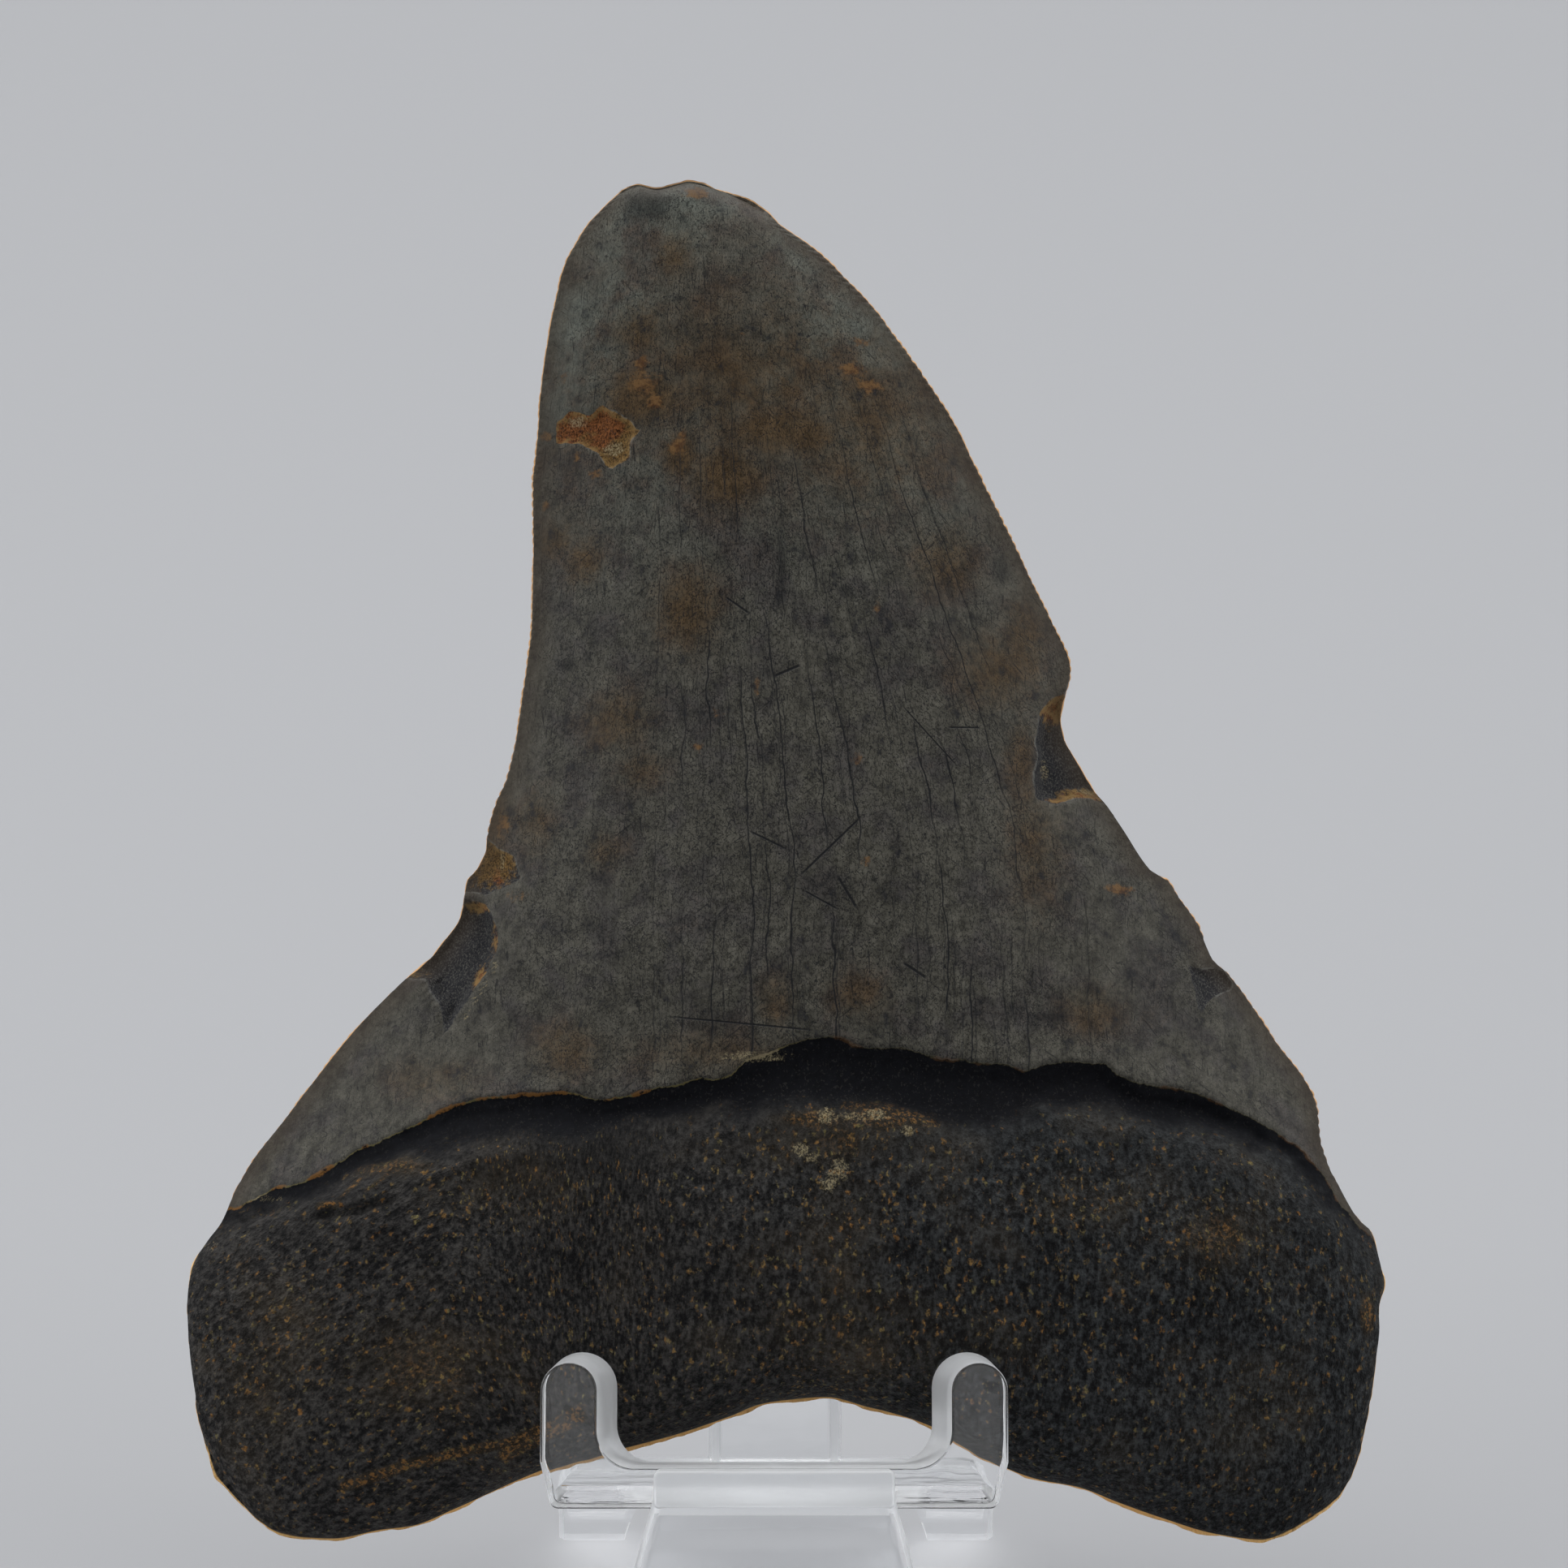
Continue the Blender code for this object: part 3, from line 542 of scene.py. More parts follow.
def rim_ring():
    """The outline's points: evenly spaced along it, moved out and in by the serrations where there is
    a sound cutting edge, and by a small noise everywhere else."""
    p = np.linspace(0.0, 4.0, 24001)[:-1]
    x, t = rim_plan(p)
    length = np.concatenate([[0.0], np.cumsum(np.hypot(np.diff(x), np.diff(t)))])
    total = length[-1] + math.hypot(x[0] - x[-1], t[0] - t[-1])
    count = int(total / RIM_STEP)
    at = np.arange(count) * total / count
    p = np.interp(at, length, p)
    x, t = rim_plan(p)
    run = np.roll(x, -1) - np.roll(x, 1)
    rise = np.roll(t, -1) - np.roll(t, 1)
    size = np.hypot(run, rise)
    out_x, out_t = rise / size, -run / size
    phase = at / SERRATION_PITCH + 0.25 * lattice_noise(4.0, 41, x, t)
    tooth = np.abs(np.sin(math.pi * phase)) ** 0.8 - 0.5
    sound = smooth_step(t, TOP_OF_ENAMEL_SIDES, TOP_OF_ENAMEL_SIDES + 4.0)
    for polygon in (*SCARS.values(), *FLAKES.values()):
        sound = sound * (1.0 - smooth_step(inside_polygon(polygon, x, t), -0.6, 0.2))
    worn = 0.55 + 0.45 * lattice_noise(7.0, 43, x, t)
    push = SERRATION_HEIGHT * worn * tooth * sound * (1.0 - 0.7 * smooth_step(t, 112.0, 119.0))
    push += (0.16 - 0.08 * sound) * rough_noise(2.4, 3, 47, x, t)
    return p, x + push * out_x, t + push * out_t, at


def zip_strip(inner, inner_p, outer, outer_p):
    """Triangles between two closed rings. Each outer edge joins the inner point at or before its
    middle, and each inner edge joins the outer point at which that inner point changes."""
    middle = 0.5 * (outer_p + np.append(outer_p[1:], 4.0))
    apex = np.searchsorted(inner_p, middle, side="right") - 1
    fans = np.stack([outer, np.roll(outer, -1), inner[apex]], axis=1)
    turn = np.searchsorted(apex, np.arange(1, len(inner) + 1), side="left") % len(outer)
    return np.concatenate([fans, np.stack([inner, outer[turn], np.roll(inner, -1)], axis=1)])


def grid_quads(index):
    """Quads of a grid of vertex numbers, anticlockwise."""
    corners = [index[:-1, :-1], index[:-1, 1:], index[1:, 1:], index[1:, :-1]]
    return np.stack(corners, axis=-1).reshape(-1, 4)


def new_piece(name, points, *face_groups):
    """A mesh object at the origin from points in metres and arrays or lists of faces."""
    mesh = bpy.data.meshes.new(name)
    faces = [list(face) for group in face_groups for face in np.array(group, dtype=object).tolist()]
    mesh.from_pydata(np.asarray(points).reshape(-1, 3).tolist(), [], faces)
    mesh.update()
    piece = bpy.data.objects.new(name, mesh)
    bpy.context.scene.collection.objects.link(piece)
    return piece


# %% [markdown]
# ## Marks that time has left, and painted glints
#
# Stains, smudges and crusts are broad soft marks, and a few rows among the pale crusts are painted
# glints. Painting them on an image would tie the finish to a file. Instead, each is one row of a
# list, as a place and a size, and adds a soft bell to a value on the vertices. The shader breaks the
# bells up with noise, so that their edges look natural.

# %% Marks of the display face
# Each row is (x, t, half width, half height, strength).
DARK_SMUDGES = [
    (-12.3, 119.6, 2.0, 1.6, 1.0), (-19.6, 74.6, 0.8, 0.6, 1.0), (-17.6, 75.3, 0.5, 0.4, 0.7),
    (0.6, 83.9, 0.5, 3.7, 0.8), (6.6, 80.9, 0.7, 0.6, 0.9), (5.5, 74.4, 0.6, 0.5, 0.9),
    (-0.5, 73.2, 0.8, 0.7, 0.8), (16.4, 81.8, 0.4, 1.1, 0.7), (19.0, 79.0, 0.6, 0.4, 0.6),
    (-16.5, 54.1, 0.9, 0.7, 0.7), (-17.3, 49.7, 0.8, 0.7, 0.7), (-13.3, 48.5, 0.3, 1.7, 0.6),
    (-15.9, 46.8, 2.6, 0.3, 0.8), (25.0, 41.0, 2.2, 0.4, 0.9), (-23.4, 46.4, 0.8, 0.4, 0.5),
    (-25.6, 38.0, 0.8, 0.5, 0.6), (-11.8, 37.2, 0.3, 1.8, 0.5), (26.3, 50.3, 0.6, 0.3, 0.7),
    (9.0, 53.6, 0.4, 0.3, 0.8), (6.5, 52.4, 0.5, 1.8, 0.6), (-6.1, 57.4, 0.9, 0.6, 0.6),
    (-6.6, 112.4, 0.3, 0.6, 0.8), (-9.3, 109.9, 0.6, 0.4, 0.8), (-8.8, 118.0, 0.4, 0.4, 0.8),
    (-9.1, 107.4, 0.3, 0.5, 0.7), (1.9, 109.0, 1.1, 0.3, 0.6), (-6.3, 104.4, 1.1, 0.8, 0.5),
    (2.2, 102.6, 1.4, 0.3, 0.6), (5.8, 95.9, 0.4, 0.4, 0.5), (14.2, 94.8, 0.4, 0.4, 0.5),
    (-22.7, 77.8, 0.5, 0.6, 0.5), (-3.0, 84.0, 5.0, 9.0, 0.35), (4.1, 59.5, 2.6, 2.2, 0.35),
    (-4.0, 62.0, 7.0, 9.0, 0.3), (22.6, 61.5, 0.5, 3.0, 0.4), (-20.5, 49.0, 2.0, 2.5, 0.4),
    (21.5, 84.0, 1.2, 1.4, 0.7), (31.0, 38.5, 6.0, 1.6, 0.3),
]
BROWN_STAINS = [
    (-12.9, 106.8, 1.8, 1.8, 0.6), (-12.5, 100.3, 2.6, 1.9, 0.9), (-8.9, 94.5, 1.2, 1.6, 0.8),
    (1.1, 96.6, 5.2, 1.9, 0.7), (-4.4, 92.3, 2.4, 2.2, 0.8), (-8.2, 79.3, 2.6, 3.1, 0.9),
    (-18.0, 84.3, 1.4, 1.8, 0.7), (-14.7, 68.9, 2.4, 2.4, 0.7), (16.1, 84.0, 2.6, 2.8, 0.6),
    (20.7, 73.7, 3.3, 3.2, 0.7), (-12.3, 64.2, 2.0, 1.7, 0.6), (23.5, 76.3, 1.8, 4.2, 0.7),
    (-16.1, 56.5, 1.7, 1.4, 0.6), (7.4, 42.9, 2.4, 2.0, 0.6), (-18.9, 38.0, 2.4, 2.2, 0.7),
    (29.1, 41.3, 2.4, 1.9, 0.6), (0.0, 42.1, 1.4, 2.2, 0.6), (-26.7, 60.3, 1.6, 3.3, 0.7),
    (24.0, 57.7, 2.2, 6.0, 0.6), (-9.6, 114.3, 1.2, 1.8, 0.5), (-3.0, 102.0, 9.0, 6.0, 0.45),
    (8.0, 98.0, 6.0, 6.0, 0.45), (-22.5, 59.8, 1.6, 2.6, 0.6), (-20.8, 86.8, 1.6, 1.6, 0.5),
    (-31.7, 35.5, 4.0, 1.8, 0.5), (-5.0, 37.5, 9.0, 1.8, 0.5), (22.8, 65.5, 1.4, 4.0, 0.6),
]
RUST_CRUSTS = [
    (-12.7, 103.6, 0.6, 0.7, 1.0), (-12.4, 101.5, 1.6, 1.2, 0.75), (-11.4, 99.6, 0.8, 0.7, 0.9),
    (-9.2, 95.3, 0.8, 0.8, 0.9), (-8.7, 96.3, 0.5, 0.6, 0.8), (-3.2, 106.5, 0.3, 0.3, 0.7),
    (7.3, 103.1, 1.2, 0.7, 0.85), (9.0, 101.5, 1.2, 0.8, 0.8), (8.1, 106.0, 0.9, 0.6, 0.75),
    (-22.0, 97.0, 0.7, 0.6, 0.8), (-18.9, 94.8, 0.6, 0.6, 0.7), (-17.1, 93.0, 0.7, 0.5, 0.8),
    (-21.8, 90.2, 0.5, 0.5, 0.8), (-20.2, 102.8, 0.6, 0.7, 0.7), (7.5, 64.9, 0.6, 0.9, 0.7),
    (9.5, 79.6, 0.5, 0.8, 0.6), (-1.7, 71.7, 0.3, 1.4, 0.7), (-5.4, 69.3, 0.6, 0.7, 0.65),
    (-7.2, 65.9, 0.8, 0.7, 0.6), (8.3, 55.3, 0.5, 0.6, 0.7), (32.1, 53.2, 1.5, 0.5, 0.9),
    (-7.6, 120.8, 1.2, 0.6, 1.0), (-25.6, 59.5, 0.8, 1.0, 0.7), (-24.2, 52.7, 1.6, 0.8, 0.55),
    (10.6, 32.0, 4.6, 1.2, 0.9), (5.5, 29.6, 4.6, 2.6, 0.6),
    (39.7, 21.4, 5.0, 3.4, 0.6), (26.6, 24.3, 6.0, 2.6, 0.45), (-43.9, 12.1, 5.0, 5.0, 0.5),
    (-31.5, 9.9, 7.0, 4.4, 0.6), (-22.9, 25.8, 7.0, 3.1, 0.5), (53.7, 14.2, 0.6, 1.7, 1.0),
    (-46.0, 7.1, 4.0, 5.0, 0.5), (6.2, 12.8, 11.0, 5.0, 0.5), (20.0, 12.8, 5.0, 4.0, 0.45),
    (6.0, 21.0, 4.0, 7.0, 0.55),
    (3.3, 31.6, 3.0, 0.8, 0.9), (-34.6, 27.4, 4.0, 0.8, 0.8), (6.5, 29.2, 0.6, 0.5, 1.0),
]
HOLLOW_RUST = [
    (-17.0, 96.7, 6.0, 4.5, 1.0), (-26.6, 55.8, 3.0, 2.4, 0.85), (26.2, 71.2, 1.6, 1.9, 1.0),
    (29.0, 62.3, 2.2, 0.7, 1.0), (26.6, 61.6, 1.8, 0.4, 0.8), (-25.9, 48.8, 0.6, 2.8, 0.7),
    (-27.6, 51.9, 1.8, 0.7, 0.85), (-27.3, 44.6, 0.8, 1.6, 0.9), (-34.0, 45.6, 2.0, 0.8, 0.6),
]
# Most rows are pale crusts. The row at (-51.4, 20.3) is a painted glint on the left shoulder, and the
# four thin rows from (-25.9, 45.9) to (-28.6, 41.3) paint a highlight along the left scar's lower
# border.
PALE_CRUSTS_AND_GLINTS = [
    (-18.9, 98.3, 1.0, 0.5, 0.9), (-15.3, 95.4, 1.0, 0.6, 1.0), (29.4, 62.8, 0.9, 0.4, 0.9),
    (25.3, 64.6, 0.5, 1.0, 0.7), (4.5, 31.9, 0.6, 0.7, 1.0), (9.1, 32.0, 1.0, 0.5, 0.9),
    (2.3, 28.9, 0.8, 0.6, 0.9), (3.3, 28.2, 0.8, 0.5, 0.8), (4.9, 25.9, 0.7, 0.8, 0.9),
    (5.8, 27.1, 0.9, 1.2, 0.75), (11.9, 30.6, 0.6, 0.5, 0.9), (6.5, 31.8, 4.0, 0.6, 0.6),
    (-25.6, 56.2, 0.3, 1.2, 0.75), (-2.0, 37.3, 3.2, 0.5, 0.8), (-51.4, 20.3, 0.8, 0.9, 0.5),
    (-25.9, 45.9, 0.3, 0.6, 0.85), (-26.8, 44.3, 0.3, 0.6, 0.85), (-27.7, 42.8, 0.3, 0.6, 0.85),
    (-28.6, 41.3, 0.3, 0.6, 0.85), (-46.2, 24.6, 1.8, 0.4, 0.55), (-22.9, 93.5, 0.4, 0.6, 0.6),
]


def soft_marks(rows, x, t):
    """The greatest of the bells exp(-(dx^2 + dt^2) / 2) times their strengths."""
    bells = [
        strength * np.exp(-0.5 * (((x - mx) / half_w) ** 2 + ((t - mt) / half_h) ** 2))
        for mx, mt, half_w, half_h, strength in rows
    ]
    return np.maximum.reduce(bells)


# %% [markdown]
# ## Joining the tooth
#
# The two grids and the ring become one mesh, and every vertex keeps what the finish will ask for: its
# leaning place, its distances to the lines and its marks. A second UV map could carry some of this,
# but attributes hold plain numbers in millimetres, so the shader can compare them with sizes.

# %% The tooth's mesh
def front_lines(x, t):
    """Distances to the display face's lines and hollows, in mm."""
    return {
        "enamel": above_line(ENAMEL_FRONT, x, t, 0.28, 61),
        "band": -above_line(BAND_FOOT, x, t, 0.5, 67),
        "scar": inside_any(SCARS, x, t, 0.2, 71),
        "flake": inside_any(FLAKES, x, t, 0.25, 73),
    }


def back_lines(x, t):
    """The back has a straight enamel edge with no band and no hollows."""
    above = above_line(ENAMEL_BACK, x, t, 0.4, 79)
    none = np.full(np.shape(x), -9.0)
    return {"enamel": above, "band": -above, "scar": none, "flake": none}


def make_tooth():
    """Joins the two grids and the ring, and keeps the leaning place, the growth lines' numbers, the
    distances and the marks on the vertices."""
    faces = []
    parts = []
    start = 0
    rings = []
    for side, (columns, rows) in ((1.0, FRONT_GRID), (-1.0, BACK_GRID)):
        u, v, x, t = face_grid(columns, rows)
        lines = front_lines(x, t) if side > 0 else back_lines(x, t)
        height = front_height(v, x, t, lines) if side > 0 else back_height(v, x, t, lines)
        w = outline_offset(t) + side * np.maximum(height, 0.02)
        index = start + np.arange(x.size).reshape(x.shape)
        start += x.size
        quads = grid_quads(index)
        faces.append(quads if side > 0 else quads[:, ::-1])
        rings.append(grid_ring(index, u, v))
        side_length = np.where(u < 0.5, 4.0 - v, 1.0 + v)
        parts.append((x, t, w, lines, np.full(x.shape, side), side_length))
    p, x, t, length = rim_ring()
    lines = front_lines(x, t)
    parts.append((x, t, outline_offset(t), lines, np.zeros(x.shape), p))
    ring = start + np.arange(len(p))
    zipped = [zip_strip(inner, inner_p, ring, p) for inner, inner_p in rings]
    faces += [zipped[0], zipped[1][:, ::-1]]

    x, t, w, side, place = (
        np.concatenate([np.ravel(part[k]) for part in parts]) for k in (0, 1, 2, 4, 5)
    )
    line_values = {k: np.concatenate([np.ravel(part[3][k]) for part in parts]) for k in lines}
    tooth = new_piece("tooth", from_leaning(x, t, w), *faces)
    front = side >= 0.0
    rust = np.maximum.reduce(path_bells(RUST_PATHS, x, t))
    values = {
        "enamel_above": line_values["enamel"],
        "band_below": line_values["band"],
        "scar_inside": line_values["scar"],
        "flake_inside": line_values["flake"],
        "rim_inside": np.where(side == 0.0, 0.0, inside_outline(x, t)),
        "serration": np.interp(place, p, length) / SERRATION_PITCH,
        "dark_smudge": np.where(front, soft_marks(DARK_SMUDGES, x, t), 0.0),
        "brown_stain": np.where(front, soft_marks(BROWN_STAINS, x, t), 0.0),
        "rust_crust": np.where(front, np.maximum(rust, soft_marks(RUST_CRUSTS, x, t)), 0.0),
        "hollow_rust": np.where(front, soft_marks(HOLLOW_RUST, x, t), 0.0),
        "pale_crust": np.where(front, soft_marks(PALE_CRUSTS_AND_GLINTS, x, t), 0.0),
        "display_side": np.where(front, 1.0, 0.0),
        "off_edge": np.abs(w - outline_offset(t)),
    }
    for name, numbers in values.items():
        attribute = tooth.data.attributes.new(name, "FLOAT", "POINT")
        attribute.data.foreach_set("value", numbers.astype(np.float32))
    for name, first in (("leaning_place", x), ("growth_place", growth_lines(x, t))):
        attribute = tooth.data.attributes.new(name, "FLOAT_VECTOR", "POINT")
        numbers = np.stack([first, t, w], axis=1)
        attribute.data.foreach_set("vector", numbers.astype(np.float32).ravel())
    tooth.data.shade_smooth()
    tooth.data.set_sharp_from_angle(angle=math.radians(70.0))
    return tooth, parts


tooth, tooth_parts = make_tooth()
tooth_triangles = sum(len(face.vertices) - 2 for face in tooth.data.polygons)
print("the tooth's mesh has", tooth_triangles, "triangles")

# %% [markdown]
# ## Writing a finish
#
# A node tree can be built by hand in the editor or by code. Code is shorter to read if every node is
# an expression, so this small class adds one node per call and hands back its output.

# %% Shader helper
def screen(red, green, blue):
    """A screen colour from 0 to 255 as linear light: ((c + 0.055) / 1.055)^2.4."""
    share = np.array([red, green, blue]) / 255.0
    linear = np.where(share <= 0.04045, share / 12.92, ((share + 0.055) / 1.055) ** 2.4)
    return (*(float(c) for c in linear), 1.0)


class Finish:
    """One material. Each method adds a node to it and returns the node's output."""

    def __init__(self, name):
        self.material = bpy.data.materials.new(name)
        self.material.use_nodes = True
        self.tree = self.material.node_tree
        self.shader = self.tree.nodes["Principled BSDF"]

    def add(self, kind, inputs, output=0, **settings):
        node = self.tree.nodes.new("ShaderNode" + kind)
        for key, value in settings.items():
            setattr(node, key, value)
        for key, value in inputs.items():
            self.join(value, node.inputs[key])
        return node.outputs[output]

    def join(self, value, socket):
        if isinstance(value, bpy.types.NodeSocket):
            self.tree.links.new(value, socket)
        elif isinstance(value, tuple):
            socket.default_value = value[: len(socket.default_value)]
        else:
            socket.default_value = value

    def number(self, name):
        """A FLOAT attribute of the mesh."""
        return self.add("Attribute", {}, "Fac", attribute_name=name)

    def place(self, name):
        """A vector attribute of the mesh."""
        return self.add("Attribute", {}, "Vector", attribute_name=name)

    def math(self, operation, *values):
        return self.add("Math", dict(enumerate(values)), operation=operation)

    def axes(self, vector):
        """The three numbers of a place."""
        return self.add("SeparateXYZ", {0: vector}).node.outputs

    def scaled(self, vector, factors):
        return self.add("VectorMath", {0: vector, 1: factors}, operation="MULTIPLY")

    def toned(self, colour, factor):
        """The colour made darker or lighter by a factor."""
        return self.add("VectorMath", {0: colour, 3: factor}, operation="SCALE")

    def turned(self, vector, degrees):
        """The place turned about the w axis, so that a stretched pattern can run askew."""
        angles = (0.0, 0.0, math.radians(degrees))
        return self.add("Mapping", {"Vector": vector, "Rotation": angles})

    def noise(self, vector, size, detail=2.0, roughness=0.5):
        """Noise from 0 to 1 with lumps of this size, one number or three, in the vector's units."""
        size = (size, size, size) if isinstance(size, (int, float)) else size
        place = self.scaled(vector, tuple(1.0 / s for s in size))
        settings = {"Vector": place, "Scale": 1.0, "Detail": detail, "Roughness": roughness}
        return self.add("TexNoise", settings)

    def lines(self, number, spacing):
        """Distance to the nearest of lines that cross an axis at random, in units of the spacing."""
        inputs = {"W": self.math("DIVIDE", number, spacing), "Scale": 1.0}
        settings = {"voronoi_dimensions": "1D", "feature": "DISTANCE_TO_EDGE"}
        return self.add("TexVoronoi", inputs, "Distance", **settings)

    def grains(self, vector, size):
        """Distance to the middle of the nearest random grain, and three random numbers for each."""
        place = self.scaled(vector, tuple(1.0 / s for s in size))
        distance = self.add("TexVoronoi", {"Vector": place, "Scale": 1.0}, "Distance")
        return distance, self.add("SeparateColor", {0: distance.node.outputs["Color"]}).node.outputs

    def contours(self, value, low, high):
        """Thin lines where a noise crosses one half: 1 within low of it and 0 beyond high."""
        off = self.math("ABSOLUTE", self.math("SUBTRACT", value, 0.5))
        return self.rise(off, low, high, 1.0, 0.0)

    def rise(self, value, low, high, bottom=0.0, top=1.0):
        """A smooth ramp from bottom at low to top at high."""
        inputs = {0: value, 1: low, 2: high, 3: bottom, 4: top}
        return self.add("MapRange", inputs, interpolation_type="SMOOTHSTEP")

    def blend(self, share, first, second):
        """Goes from the first colour to the second as share goes from 0 to 1."""
        return self.add("Mix", {0: share, 6: first, 7: second}, 2, data_type="RGBA")

    def between(self, share, first, second):
        """The same for plain numbers."""
        return self.add("Mix", {0: share, 2: first, 3: second}, data_type="FLOAT")

    def chained(self, operation, values):
        """One operation carried along a row of numbers."""
        result = values[0]
        for value in values[1:]:
            result = self.math(operation, result, value)
        return result

    def both(self, *values):
        """The product of several numbers or shares."""
        return self.chained("MULTIPLY", values)

    def total(self, *values):
        """The sum of several numbers."""
        return self.chained("ADD", values)

    def most(self, *values):
        """The greatest of several numbers."""
        return self.chained("MAXIMUM", values)


print("a mid grey of 128 on the screen is", round(screen(128, 128, 128)[0], 3), "in linear light")

# %% [markdown]
# ## The fossil's finish
#
# Minerals have turned the enamel grey and brown, with dark flecks, hair cracks and scratches. The
# band is nearly black and smooth, and the root is black with rust in its pores. The few long
# scratches are placed one by one, and the hair cracks lie at random numbers of the growth lines, each
# only along a stretch.

# %% Scratches
# Each row runs from (x, t) to (x, t) and gives the width. All lie on the crown's display face.
SCRATCHES = [
    (2.0, 53.6, 8.4, 59.9, 0.15), (2.5, 52.6, 5.9, 50.7, 0.12), (-2.5, 58.2, 1.2, 56.3, 0.14),
    (5.6, 54.1, 7.6, 50.7, 0.19), (11.5, 46.0, 13.9, 44.4, 0.19), (-4.8, 80.6, -2.2, 78.7, 0.15),
    (16.0, 68.1, 19.3, 68.2, 0.12), (11.6, 70.3, 17.1, 64.2, 0.10), (-0.2, 72.7, 2.5, 73.9, 0.19),
    (-10.1, 41.0, 4.1, 39.6, 0.12),
]


def scratch_share(finish, place, rows):
    """1 on the scratches and 0 off them: for each, the distance across it within its width, and the
    distance from its middle within its half length."""
    shares = []
    for ax, at, bx, bt, wide in rows:
        length = math.hypot(bx - ax, bt - at)
        turn = math.atan2(bt - at, bx - ax)
        middle = (0.5 * (ax + bx), 0.5 * (at + bt))
        shift = (
            -middle[0] * math.cos(turn) - middle[1] * math.sin(turn),
            middle[0] * math.sin(turn) - middle[1] * math.cos(turn),
            0.0,
        )
        inputs = {"Vector": place, "Location": shift, "Rotation": (0.0, 0.0, -turn)}
        along = finish.axes(finish.add("Mapping", inputs))
        near = finish.rise(finish.math("ABSOLUTE", along[1]), 0.35 * wide, wide, 1.0, 0.0)
        within = finish.rise(finish.math("ABSOLUTE", along[0]), 0.35 * length, 0.5 * length, 1.0, 0.0)
        shares.append(finish.both(near, within))
    return finish.most(*shares)


# %% [markdown]
# ## Enamel
#
# Fossil enamel is stained in soft patches of grey and brown, and worn enamel carries a net of fine
# lines and pits. One noise can't look like this, because the real marks have different causes. So the
# ground colour is mixed first, its blue-grey patches also a painted sheen on the upper crown. A tone
# makes it lighter or darker, and also paints the tip lighter and the lower crown darker as light and
# shade. Each kind of dark mark is then laid on with its own share.

# %% Enamel
OLIVE_GREY = screen(74, 72, 65)
# Blue-grey mottle of the enamel, and on the upper crown also a painted sheen of the pale sky.
BLUE_GREY_AND_SHEEN = screen(82, 85, 79)
PURPLE_GREY = screen(62, 60, 59)
ENAMEL_BROWN = screen(72, 57, 38)
RUST_BROWN = screen(90, 60, 34)
INK = screen(22, 23, 26)
BLOTCH = screen(40, 41, 46)
OCHRE = screen(124, 92, 56)
CREAM = screen(150, 138, 108)
# Short scratches: the size and roughness of a stretched noise, how fast a stroke fades in, and for
# each direction its angle in degrees and the noise value above which a stroke shows.
STROKES = (
    ((2.4, 0.13, 0.6), 0.5, 0.06, ((38.0, 0.7), (-32.0, 0.71), (95.0, 0.66))),
    ((3.4, 0.3, 0.9), 0.6, 0.05, ((50.0, 0.72), (-40.0, 0.73), (84.0, 0.7))),
)


def enamel_marks(finish, place, growth, display, grain, grit):
    """Shares of what is dark, in this order: hair cracks with the long scratches, short scratches and
    squiggles, specks, smudges, and the engraved net of fine lines on the worn middle."""
    number, height, _ = finish.axes(growth)
    middle = finish.both(finish.rise(number, -7.0, 4.0), finish.rise(number, 48.0, 30.0))
    wobble = finish.noise(place, (3.5, 7.0, 9.0), 3.0, 0.6)
    number = finish.math("MULTIPLY_ADD", wobble, 2.0, number)
    below_tip = finish.rise(height, 108.0, 88.0)
    kept = finish.noise(growth, (2.3, 20.0, 9.0), 1.0, 0.5)
    coarse = finish.both(
        finish.rise(finish.lines(number, 2.6), 0.01, 0.045, 1.0, 0.0), finish.rise(kept, 0.42, 0.56)
    )
    fine = finish.both(
        finish.rise(finish.lines(finish.total(number, 31.7), 1.15), 0.02, 0.07, 0.6, 0.0),
        finish.rise(kept, 0.52, 0.62),
    )
    cracks = finish.both(finish.most(coarse, fine), below_tip, middle)
    strokes = [
        finish.rise(finish.noise(finish.turned(place, angle), size, 1.0, roughness), low, low + fade)
        for size, roughness, fade, turns in STROKES
        for angle, low in turns
    ]
    squiggle = finish.contours(finish.noise(place, 1.5, 1.0, 0.5), 0.006, 0.02)
    squiggle = finish.both(squiggle, finish.rise(grain, 0.5, 0.6))
    worn = finish.both(finish.rise(number, -22.0, -6.0), finish.rise(number, 55.0, 24.0), 0.3)
    worn = finish.rise(finish.total(finish.noise(place, 7.0, 2.0, 0.6), worn), 0.5, 0.75, 0.5, 1.0)
    engraved = finish.contours(finish.noise(growth, (0.4, 0.62, 0.5), 2.0, 0.6), 0.01, 0.055)
    engraved = finish.both(engraved, worn)
    specks = finish.both(finish.rise(grit, 0.57, 0.68), worn)
    scratches = scratch_share(finish, place, SCRATCHES)
    smudged = finish.total(
        finish.number("dark_smudge"), finish.both(grain, 0.9), finish.both(engraved, 0.2)
    )
    smudges = finish.rise(smudged, 0.7, 1.3)
    hair = finish.both(finish.most(cracks, scratches), display)
    return hair, finish.most(*strokes, squiggle), specks, smudges, engraved


